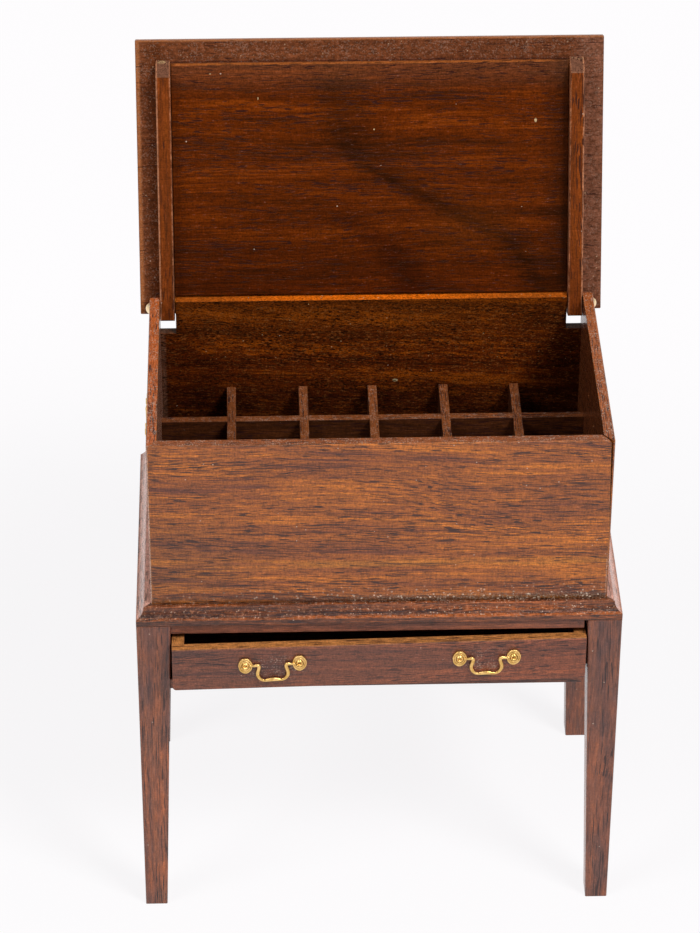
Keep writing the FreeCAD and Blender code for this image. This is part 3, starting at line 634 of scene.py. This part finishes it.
def leg_patches(tree, colour, here):
    """Worn patches down a leg, tan here and grey-brown there."""
    patches = noise(tree, here, (0.45, 0.45, 0.16), detail=3.0, roughness=0.6, offset=91.0)
    colour = tint(tree, ramp(tree, patches, 0.50, 0.64), colour, LEG_TAN)
    return tint(tree, ramp(tree, patches, 0.50, 0.36), colour, LEG_GREY)


def dull_top_marks(tree, colour, here):
    """A leg's upper end, greyer in patches."""
    z = axes(tree, here)[2]
    patches = noise(tree, here, (0.5, 0.5, 0.25), offset=66.0)
    dull = product(tree, ramp(tree, z, 24.0, 38.0), ramp(tree, patches, 0.30, 0.60, 0.4, 1.0))
    return tint(tree, dull, colour, LEG_TOP_DULL)


def drawer_front_marks(tree, colour, here):
    """Grime and a few dust specks round the pulls, and a warmer right end."""
    for side in (-1, 1):
        centre = (side * DRAWER_PULL_ACROSS, DRAWER_FACE, DRAWER_PULL_HEIGHT)
        grime_and_shade = spot(tree, here, centre, (6.6, 9.0, 3.0), 0.8)
        colour = tint(tree, grime_and_shade, colour, PULL_GRIME)
        grains = product(tree, grime_and_shade, dust_grains(tree, here, 9.0), 0.35)
        colour = blend_colour(tree, grains, colour, DUST_TONE)
    right = product(tree, ramp(tree, axes(tree, here)[0], 4.0, 24.0), facing(tree, FRONT))
    return tint(tree, right, colour, DRAWER_WARM_END)


# -------------------- finishes of the wooden pieces
CASE_OUTSIDE = dict(deep=(0.135, 0.034, 0.016), mid=(0.320, 0.083, 0.013),
                    light=(0.56, 0.155, 0.013))
CASE_INSIDE = dict(deep=(0.038, 0.007, 0.002), mid=(0.105, 0.018, 0.002),
                   light=(0.27, 0.056, 0.003))
LID_INSIDE = dict(deep=(0.050, 0.009, 0.001), mid=(0.100, 0.016, 0.001),
                  light=(0.18, 0.032, 0.002))
LID_ARMS = dict(deep=(0.085, 0.019, 0.004), mid=(0.150, 0.029, 0.004),
                light=(0.21, 0.043, 0.005))
LID_BORDER = dict(deep=(0.080, 0.023, 0.009), mid=(0.123, 0.035, 0.013),
                  light=(0.17, 0.050, 0.018))
STAND = dict(deep=(0.100, 0.036, 0.027), mid=(0.207, 0.067, 0.037), light=(0.31, 0.094, 0.040))
MOULDING = dict(deep=(0.085, 0.024, 0.010), mid=(0.180, 0.046, 0.012), light=(0.33, 0.080, 0.014))
DRAWER = dict(deep=(0.095, 0.032, 0.022), mid=(0.170, 0.051, 0.026), light=(0.27, 0.074, 0.030))
DIVIDERS = dict(deep=(0.045, 0.013, 0.004), mid=(0.075, 0.021, 0.006), light=(0.11, 0.030, 0.008))
RIM = (0.35, 0.092, 0.023)
RIM_FRONT = (0.27, 0.072, 0.018)
RIM_LEFT = (0.46, 0.108, 0.025)
INNER_WALL = (0.135, 0.034, 0.010)
# Painted light: the left wall's inner face, paler than the right wall's inner face, as if lit.
INNER_WALL_LEFT_PAINTED_LIGHT = (0.32, 0.15, 0.10)
BACK_TOP = (0.44, 0.095, 0.008)
DIVIDER_TOP = (0.200, 0.058, 0.016)
GOLDEN_TOP = (0.44, 0.170, 0.045)
# Painted reflection of the pale surround on the legs' inner faces.
LEG_PAINTED_REFLECTION = (0.32, 0.125, 0.082)
# The arms' bevelled end grain, greyer than the arms: end grain with a painted reflection of the
# light from above.
ARM_END = (0.17, 0.070, 0.040)
ARM_END_WAY = (0, -0.325, 0.946)
# Painted highlight: the lid board's top edge face, much paler than the board.
LID_EDGE = (0.38, 0.135, 0.052)
LID_EDGE_WAY = (0, 0.326, 0.945)
LID_OUTER_WAY = (0, 0.945, -0.326)
OUTER_FACE = (0.290, 0.076, 0.014)
CASE_WEAR = (0.50, 0.175, 0.035)
LID_WEAR = (0.36, 0.13, 0.05)
PANEL_WEAR = (0.30, 0.085, 0.008)
INSIDE_PORES = (0.010, 0.003, 0.001)
AMBER = (1.0, 0.55, 0.25)    # sheen of the old varnish inside


def dress_case():
    outside = dict(CASE_OUTSIDE, dusty=((UP, 0.45),), rough=0.32, pore_size=0.95,
                   wear=0.8, wear_tone=CASE_WEAR)
    front = dict(outside, faces=((UP, RIM_FRONT), (REAR, INNER_WALL)),
                 marks=(case_front_marks,), dusty=((UP, 0.55),), pores=1.05, hatch=1.5, grit=1.1)
    dress("case_front", walnut("walnut_case_front", CASE_FRONT_GRAIN, 1, **front))
    for seed, (side, inward, rim, inner, marks) in enumerate((
            ("left", RIGHT, RIM_LEFT, INNER_WALL_LEFT_PAINTED_LIGHT, (side_wall_marks, left_arris_highlight)),
            ("right", LEFT, RIM, INNER_WALL, (side_wall_marks,))), 2):
        look = dict(outside, faces=((UP, rim), (inward, inner)), marks=marks, pores=1.2,
                    rough=0.25)
        dress("case_side_" + side, walnut("walnut_case_side_" + side, ALONG_Y, seed, **look))
    inside = dict(CASE_INSIDE, pores=1.5, pore_size=0.85, shine=0.2, sheen=AMBER, rough=0.34,
                  contrast=1.05, specks=0.05, pore_tone=INSIDE_PORES, grit=2.0, figure=4.0)
    back = dict(inside, faces=((UP, BACK_TOP), (REAR, OUTER_FACE)), marks=(back_wall_marks,),
                closed=(UP,))
    dress("case_back", walnut("walnut_case_back", BACK_WALL_GRAIN, 4, **back))
    dress("case_bottom", walnut("walnut_case_bottom", ALONG_X, 5, **inside))
    grid = dict(DIVIDERS, faces=((UP, DIVIDER_TOP),), dusty=((UP, 0.25),), shine=0.2, wear=0.2)
    for kind, turn, count, first_seed in (("cross", ALONG_Y, 5, 11), ("long", ALONG_X, 3, 21)):
        for index in range(count):
            node = "divider_%s_%d" % (kind, index + 1)
            dress(node, walnut("walnut_" + node, turn, first_seed + index, **grid))


def dress_lid():
    border = dict(LID_BORDER, faces=((LID_EDGE_WAY, LID_EDGE), (LID_OUTER_WAY, OUTER_FACE)),
                  marks=(lid_border_marks,), dusty=((FRONT, 0.13),), shine=0.12, sheen=AMBER,
                  contrast=0.5, hatch=0.8, pores=-1.5, specks=0.015, wear=0.8, wear_tone=LID_WEAR)
    dress("lid_board", walnut("walnut_lid_board", LID_BOARD_GRAIN, 31, **border))
    panel = dict(LID_INSIDE, marks=(lid_figure,), shine=0.1, sheen=AMBER, pores=0.5, rough=0.3,
                 pore_size=0.8, contrast=0.92, wear_tone=PANEL_WEAR, wear=0.8, specks=0.008,
                 glints=0.35, grit=1.25)
    dress("lid_panel", walnut("walnut_lid_panel", LID_BOARD_GRAIN, 32, **panel))
    arm = dict(LID_ARMS, faces=((ARM_END_WAY, ARM_END),), marks=(arm_marks,), shine=0.25,
               sheen=AMBER, specks=0.02, pores=0.8)
    for seed, side in enumerate(("left", "right"), 33):
        node = "lid_arm_" + side
        dress(node, walnut("walnut_" + node, LID_ARM_GRAIN, seed, **arm))


def dress_stand():
    plain = dict(STAND, pores=0.15, rough=0.24, grit=0.8, hatch=0.4, contrast=0.75, figure=0.6)
    lively = dict(plain, pores=0.6, hatch=0.6, contrast=1.0)
    for seed, (place, inward) in enumerate((("front_left", RIGHT), ("front_right", LEFT),
                                            ("back_left", RIGHT), ("back_right", LEFT)), 41):
        node = "leg_" + place
        legs = lively if place.endswith("left") else plain
        marks = (leg_patches, dull_top_marks) if place.startswith("front") else (leg_patches,)
        # The legs' inner faces carry a painted reflection.
        dress(node, walnut("walnut_" + node, ALONG_Z, seed, faces=((inward, LEG_PAINTED_REFLECTION),),
                           marks=marks, **legs))
    along_x = ("rail_top", "rail_lower", "apron_back", "stand_top_panel")
    along_y = ("apron_left", "apron_right", "drawer_runner_left", "drawer_runner_right",
               "drawer_guide_left", "drawer_guide_right", "drawer_kicker_left",
               "drawer_kicker_right")
    for turn, names in ((ALONG_X, along_x), (ALONG_Y, along_y)):
        for seed, node in enumerate(names, 51):
            dress(node, walnut("walnut_" + node, turn, seed, **STAND))
    trim = dict(MOULDING, dusty=((UP, 0.20),), specks=0.06, rough=0.24, contrast=1.45, hatch=1.3,
                marks=(moulding_marks,))
    side_trim = dict(trim, marks=(moulding_marks, painted_cove_reflection), coat=0.6, pores=0.4, contrast=0.9,
                     hatch=0.7)
    for seed, (side, turn, look) in enumerate((
            ("front", ALONG_X, trim), ("back", ALONG_X, trim),
            ("left", ALONG_Y, side_trim), ("right", ALONG_Y, side_trim)), 71):
        node = "moulding_" + side
        dress(node, walnut("walnut_" + node, turn, seed, **look))


def dress_drawer():
    bare = dict(DRAWER, pores=0.35, pore_size=0.8, grit=1.3)
    box = dict(bare, faces=((UP, GOLDEN_TOP),))
    front = dict(box, marks=(drawer_front_marks,), specks=0.02)
    for seed, (node, turn, look) in enumerate((
            ("drawer_front", ALONG_X, front), ("drawer_back", ALONG_X, box),
            ("drawer_bottom", ALONG_X, bare), ("drawer_side_left", ALONG_Y, box),
            ("drawer_side_right", ALONG_Y, box)), 81):
        dress(node, walnut("walnut_" + node, turn, seed, **look))


# -------------------- brass
PULL_BRASS = dict(dull=(0.66, 0.39, 0.105), bright=(0.92, 0.60, 0.23))
PIN_BRASS = dict(dull=(0.95, 0.70, 0.40), bright=(1.0, 0.80, 0.52))
TARNISH = (0.20, 0.115, 0.040)


def brass(name, dull, bright):
    """Bright cast brass, a little uneven, with tarnish left in the hollows."""
    material, tree = new_material(name)
    here = coordinates(tree)
    mottle = noise(tree, here, (1.4, 1.4, 1.4), detail=3.0, roughness=0.6)
    colour = blend_colour(tree, ramp(tree, mottle, 0.3, 0.7), dull, bright)
    hollow = add(tree, "ShaderNodeAmbientOcclusion", {"Distance": 0.15 * MM}, samples=8,
                 only_local=True).outputs["AO"]
    colour = blend_colour(tree, ramp(tree, hollow, 0.90, 0.45), colour, TARNISH)
    roughness = ramp(tree, mottle, 0.3, 0.7, 0.30, 0.42)
    dents = noise(tree, here, (2.5, 2.5, 2.5))
    bump = add(tree, "ShaderNodeBump", {"Height": dents, "Strength": 0.12, "Distance": 0.03 * MM})
    shader = add(tree, "ShaderNodeBsdfPrincipled",
                 {"Base Color": colour, "Metallic": 1.0, "Roughness": roughness,
                  "Normal": bump.outputs[0]})
    add(tree, "ShaderNodeOutputMaterial", {"Surface": shader.outputs[0]})
    return material


# -------------------- modelling helpers
SMOOTH_ANGLE = 40            # degrees


def deselect():
    bpy.ops.object.select_all(action="DESELECT")


def select_only(*pieces):
    """Selects some objects, the first of them active."""
    deselect()
    for piece in pieces:
        piece.select_set(True)
    bpy.context.view_layer.objects.active = pieces[0]


def finish_piece(piece, name, body, material):
    """Names a modelled piece, faces it outwards, shades it, and lets it ride on its body."""
    select_only(piece)
    bpy.ops.object.mode_set(mode="EDIT")
    bpy.ops.mesh.select_all(action="SELECT")
    bpy.ops.mesh.normals_make_consistent(inside=False)
    bpy.ops.object.mode_set(mode="OBJECT")
    bpy.ops.object.shade_smooth_by_angle(angle=math.radians(SMOOTH_ANGLE))
    piece.name = name
    piece.data.name = name
    piece.data.materials.clear()
    piece.data.materials.append(material)
    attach(piece, body)
    # The CAD brings a material called brass, so this name is brass.001 and the slot is walnut.
    deselect()
    return piece


def apply_modifiers(piece):
    select_only(piece)
    for modifier in list(piece.modifiers):
        bpy.ops.object.modifier_apply(modifier=modifier.name)


def copy_at(piece, place):
    """A copy with its own mesh, put at its place with the place in its mesh."""
    copy = piece.copy()
    copy.data = piece.data.copy()
    bpy.context.scene.collection.objects.link(copy)
    copy.data.transform(place)
    return copy


def remove(piece):
    bpy.data.objects.remove(piece, do_unlink=True)


def joined(pieces):
    """Several objects as one."""
    select_only(*pieces)
    bpy.ops.object.join()
    return bpy.context.object


# -------------------- pulls
# A rosette from its back to its pit: half width, half height, and height off the board, in mm.
ROSETTE_RINGS = ((0.92, 1.19, 0.0), (0.95, 1.23, 0.05), (0.955, 1.235, 0.22),
                 (0.93, 1.20, 0.31), (0.87, 1.12, 0.355), (0.80, 1.03, 0.355),
                 (0.755, 0.965, 0.275), (0.705, 0.895, 0.265), (0.665, 0.84, 0.335),
                 (0.60, 0.74, 0.375), (0.545, 0.655, 0.365), (0.515, 0.60, 0.295),
                 (0.475, 0.53, 0.290), (0.44, 0.47, 0.39), (0.39, 0.41, 0.475),
                 (0.33, 0.34, 0.50), (0.27, 0.27, 0.49), (0.21, 0.21, 0.38),
                 (0.14, 0.14, 0.25), (0.05, 0.05, 0.21))
# Half a bail from the middle of its bar up to its end in the rosette: across, up, and radius.
BAIL_STATIONS = ((0.0, -2.37, 0.295), (0.35, -2.39, 0.28), (0.70, -2.45, 0.235),
                 (0.95, -2.50, 0.20), (1.20, -2.51, 0.18), (1.48, -2.40, 0.195),
                 (1.76, -2.13, 0.225), (1.94, -1.80, 0.245), (2.02, -1.45, 0.255),
                 (1.98, -1.08, 0.255), (1.87, -0.74, 0.25), (1.78, -0.42, 0.25),
                 (1.765, -0.16, 0.275), (1.86, 0.04, 0.29), (2.06, 0.06, 0.25),
                 (2.26, 0.02, 0.205), (2.50, 0.0, 0.19), (3.10, 0.0, 0.19))


ROSETTE_CORNERS = 40
BAIL_CORNERS = 14
BAIL_FLATNESS = 0.84         # a bail's thickness off the board, against its height


def rosette():
    """A cast rosette on the plane y = 0, facing -Y: a rim bead, a ring, a boss and a pit."""
    deselect()
    wide, high, level = ROSETTE_RINGS[0]
    bpy.ops.mesh.primitive_circle_add(vertices=ROSETTE_CORNERS, radius=MM, fill_type="NGON",
                                      rotation=(math.radians(90), 0, 0))
    piece = bpy.context.object
    bpy.ops.object.transform_apply(location=False, rotation=True, scale=False)
    bpy.ops.object.mode_set(mode="EDIT")
    bpy.ops.mesh.select_all(action="SELECT")
    bpy.ops.transform.resize(value=(wide, 1, high), center_override=(0, 0, 0))
    for next_wide, next_high, next_level in ROSETTE_RINGS[1:]:
        bpy.ops.mesh.extrude_region_move(
            TRANSFORM_OT_translate={"value": (0, -(next_level - level) * MM, 0)})
        bpy.ops.transform.resize(value=(next_wide / wide, 1, next_high / high),
                                 center_override=(0, -next_level * MM, 0))
        wide, high, level = next_wide, next_high, next_level
    bpy.ops.object.mode_set(mode="OBJECT")
    smooth = piece.modifiers.new("smooth", "SUBSURF")
    smooth.levels = smooth.render_levels = 1
    apply_modifiers(piece)
    for vertex in piece.data.vertices:
        turn = math.atan2(vertex.co.z, vertex.co.x)
        uneven = 1 + 0.014 * math.sin(3 * turn + 0.7) + 0.010 * math.sin(7 * turn)
        vertex.co.x *= uneven
        vertex.co.z *= uneven
        if vertex.co.y < -0.2 * MM:
            vertex.co.y += 0.010 * MM * math.sin(5 * turn + 900 * vertex.co.z / MM)
    return piece


def bail():
    """A swinging bail with its axis along X through (0, -BAIL_OUT, 0), swollen in its middle."""
    deselect()
    across, up, radius = BAIL_STATIONS[0]
    centre = Vector((across, -BAIL_OUT, up)) * MM
    bpy.ops.mesh.primitive_circle_add(vertices=BAIL_CORNERS, radius=radius * MM,
                                      fill_type="NOTHING", location=centre,
                                      rotation=(0, math.radians(90), 0))
    piece = bpy.context.object
    bpy.ops.object.transform_apply(location=True, rotation=True, scale=True)
    bpy.ops.object.mode_set(mode="EDIT")
    bpy.ops.mesh.select_all(action="SELECT")
    bpy.ops.transform.resize(value=(1, BAIL_FLATNESS, 1), center_override=centre)
    heading = 0.0
    for index in range(1, len(BAIL_STATIONS)):
        before = BAIL_STATIONS[index - 1]
        here = BAIL_STATIONS[index]
        after = BAIL_STATIONS[min(index + 1, len(BAIL_STATIONS) - 1)]
        bpy.ops.mesh.extrude_region_move(
            TRANSFORM_OT_translate={"value": ((here[0] - before[0]) * MM, 0,
                                              (here[1] - before[1]) * MM)})
        centre = Vector((here[0], -BAIL_OUT, here[1])) * MM
        next_heading = math.atan2(after[1] - before[1], after[0] - before[0])
        bpy.ops.transform.rotate(value=next_heading - heading, orient_axis="Y",
                                 center_override=centre)
        heading = next_heading
        scale = here[2] / radius
        bpy.ops.transform.resize(value=(scale, scale, scale), center_override=centre)
        radius = here[2]
    bpy.ops.mesh.edge_face_add()
    bpy.ops.object.mode_set(mode="OBJECT")
    mirror = piece.modifiers.new("mirror", "MIRROR")
    mirror.merge_threshold = 0.001 * MM
    smooth = piece.modifiers.new("smooth", "SUBSURF")
    smooth.levels = smooth.render_levels = 2
    apply_modifiers(piece)
    return piece


def pull_place(joint):
    """The place of a pull from its bail's hinge: x along the board, y into it, z up."""
    along = -Vector(joint["axis"]).normalized()
    out = along.cross(Vector((0, 0, 1))).normalized()
    up = out.cross(along)
    place = Matrix((along, -out, up)).transposed().to_4x4()
    place.translation = Vector(joint["pos_m"]) - out * BAIL_OUT * MM
    return place


def pulls(material):
    """Every pull: two rosettes on the board, and a bail that swings between them."""
    button, handle = rosette(), bail()
    for joint_name, pull, body in (
            ("drawer_left_bail_hinge", "drawer_pull_left", "drawer"),
            ("drawer_right_bail_hinge", "drawer_pull_right", "drawer"),
            ("case_left_bail_hinge", "case_pull_left", "case"),
            ("case_right_bail_hinge", "case_pull_right", "case")):
        place = pull_place(JOINTS[joint_name])
        pair = [copy_at(button, place @ Matrix.Translation((side * POST_FROM_MIDDLE * MM, 0, 0)))
                for side in (-1, 1)]
        rosettes = finish_piece(joined(pair), pull + "_rosettes", body, material)
        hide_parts(pull + "_plates", pull + "_posts")
        hanging = finish_piece(copy_at(handle, place), pull + "_cast_bail", pull + "_bail",
                               material)
        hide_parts(pull + "_bail")
    remove(button)
    remove(handle)


# -------------------- floor, light and camera
KEY_WATTS = 5.6
FILL_WATTS = 3.0
LAMP_DISTANCE = 0.9          # m, from the point that the lamps look at
LAMP_AIM_HEIGHT = 60         # mm
WORLD_FILL = 0.15
SKY_FADE = (0.15, 0.32)      # how high the white of the horizon gives way
SKY_LEVELS = (0.98, 0.40)    # how bright the horizon and the sky show
FLOOR_RADIUS = 0.9           # m
FLOOR_BLEACH = 0.88          # share of the floor's look that no shadow darkens, near and far
FLOOR_BLEACH_FAR = 0.97
FLOOR_FADE = (70.0, 150.0)   # mm from the middle, where the one turns to the other
PAPER = (0.93, 0.935, 0.93, 1)
BLEACHED = (1.0, 0.987, 1.0, 1)


def seen_rays(tree):
    """1 for the rays that show the background: from the camera, by a mirror, or through glass."""
    path = add(tree, "ShaderNodeLightPath").outputs
    seen = sums(tree, "MAXIMUM", path["Is Camera Ray"], path["Is Glossy Ray"])
    return sums(tree, "MAXIMUM", seen, path["Is Transmission Ray"])


def pale_floor():
    """A white table that the lamps nearly bleach, so the object's shadow stays faint."""
    bpy.ops.mesh.primitive_circle_add(vertices=96, radius=FLOOR_RADIUS, fill_type="NGON",
                                      location=(0, 0, 0))
    floor = bpy.context.object
    floor.name = "floor"
    material, tree = new_material("pale_floor")
    paper = add(tree, "ShaderNodeBsdfDiffuse", {"Color": PAPER})
    bleached = add(tree, "ShaderNodeEmission", {"Color": BLEACHED, "Strength": 1.0})
    away = vectors(tree, "LENGTH", coordinates(tree))
    bleach = ramp(tree, away, *FLOOR_FADE, FLOOR_BLEACH, FLOOR_BLEACH_FAR)
    share = sums(tree, "MULTIPLY", seen_rays(tree), bleach)
    mixed = add(tree, "ShaderNodeMixShader",
                {0: share, 1: paper.outputs[0], 2: bleached.outputs[0]})
    add(tree, "ShaderNodeOutputMaterial", {"Surface": mixed.outputs[0]})
    floor.data.materials.append(material)


def studio_world():
    """A pale studio: white round the horizon, dimmer high up, and a low even fill of light."""
    world = bpy.data.worlds.new("studio")
    bpy.context.scene.world = world
    world.use_nodes = True
    tree = emptied(world.node_tree)
    direction = add(tree, "ShaderNodeTexCoord").outputs["Generated"]
    height = axes(tree, direction)[2]
    shown = ramp(tree, height, *SKY_FADE, *SKY_LEVELS)
    fill = sums(tree, "MULTIPLY", sums(tree, "SUBTRACT", 1.0, seen_rays(tree)), WORLD_FILL)
    strength = sums(tree, "MULTIPLY_ADD", seen_rays(tree), shown, fill)
    back = add(tree, "ShaderNodeBackground", {"Color": (1, 1, 1, 1), "Strength": strength})
    add(tree, "ShaderNodeOutputWorld", {"Surface": back.outputs[0]})


def softbox(name, azimuth, elevation, size, watts):
    """A square area lamp that looks at the case; azimuth 0 is in front, 90 to the right."""
    aim = Vector((0, 0, LAMP_AIM_HEIGHT * MM))
    around, up = math.radians(azimuth), math.radians(elevation)
    toward = Vector((math.sin(around) * math.cos(up), -math.cos(around) * math.cos(up),
                     math.sin(up)))
    lamp = bpy.data.lights.new(name, "AREA")
    lamp.shape = "SQUARE"
    lamp.size = size
    lamp.energy = watts
    holder = bpy.data.objects.new(name, lamp)
    holder.location = aim + toward * LAMP_DISTANCE
    holder.rotation_euler = (-toward).to_track_quat("-Z", "Y").to_euler()
    holder.visible_camera = False
    bpy.context.scene.collection.objects.link(holder)


def lights():
    softbox("key_right", azimuth=45, elevation=50, size=0.25, watts=KEY_WATTS)
    softbox("fill_left", azimuth=-57, elevation=45, size=0.35, watts=FILL_WATTS)


CAMERA_DISTANCE = 491.52     # mm from the aim to the lens
CAMERA_YAW = -1.859          # degrees, to the left of straight in front
CAMERA_PITCH = 34.994        # degrees above level
CAMERA_ROLL = 0.271
CAMERA_AIM = (-3.346, 0.0, 59.676)
FOCAL_LENGTH = 142.77
SENSOR_HEIGHT = 36.0


def camera():
    yaw, pitch, roll = (math.radians(a) for a in (CAMERA_YAW, CAMERA_PITCH, CAMERA_ROLL))
    back = Vector((math.sin(yaw) * math.cos(pitch), -math.cos(yaw) * math.cos(pitch),
                   math.sin(pitch)))
    right = (-back).cross(Vector((0, 0, 1))).normalized()
    up = right.cross(-back)
    turned_right = right * math.cos(roll) + up * math.sin(roll)
    turned_up = up * math.cos(roll) - right * math.sin(roll)
    data = bpy.data.cameras.new("camera")
    data.sensor_fit = "VERTICAL"
    data.sensor_height = SENSOR_HEIGHT
    data.lens = FOCAL_LENGTH
    data.clip_start = 0.01
    data.clip_end = 20.0
    holder = bpy.data.objects.new("camera", data)
    placed = Matrix((turned_right, turned_up, back)).transposed().to_4x4()
    placed.translation = (Vector(CAMERA_AIM) + back * CAMERA_DISTANCE) * MM
    holder.matrix_world = placed
    bpy.context.scene.collection.objects.link(holder)
    bpy.context.scene.camera = holder


# -------------------- put it together
bpy.context.scene.view_settings.view_transform = "Standard"
dress_case()
dress_lid()
dress_stand()
dress_drawer()
brass_finish = brass("brass", **PULL_BRASS)
pin_finish = brass("brass_pins", **PIN_BRASS)
for pin in ("hinge_pin_left", "hinge_pin_right"):
    dress(pin, pin_finish)
pulls(brass_finish)
pale_floor()
studio_world()
lights()
camera()
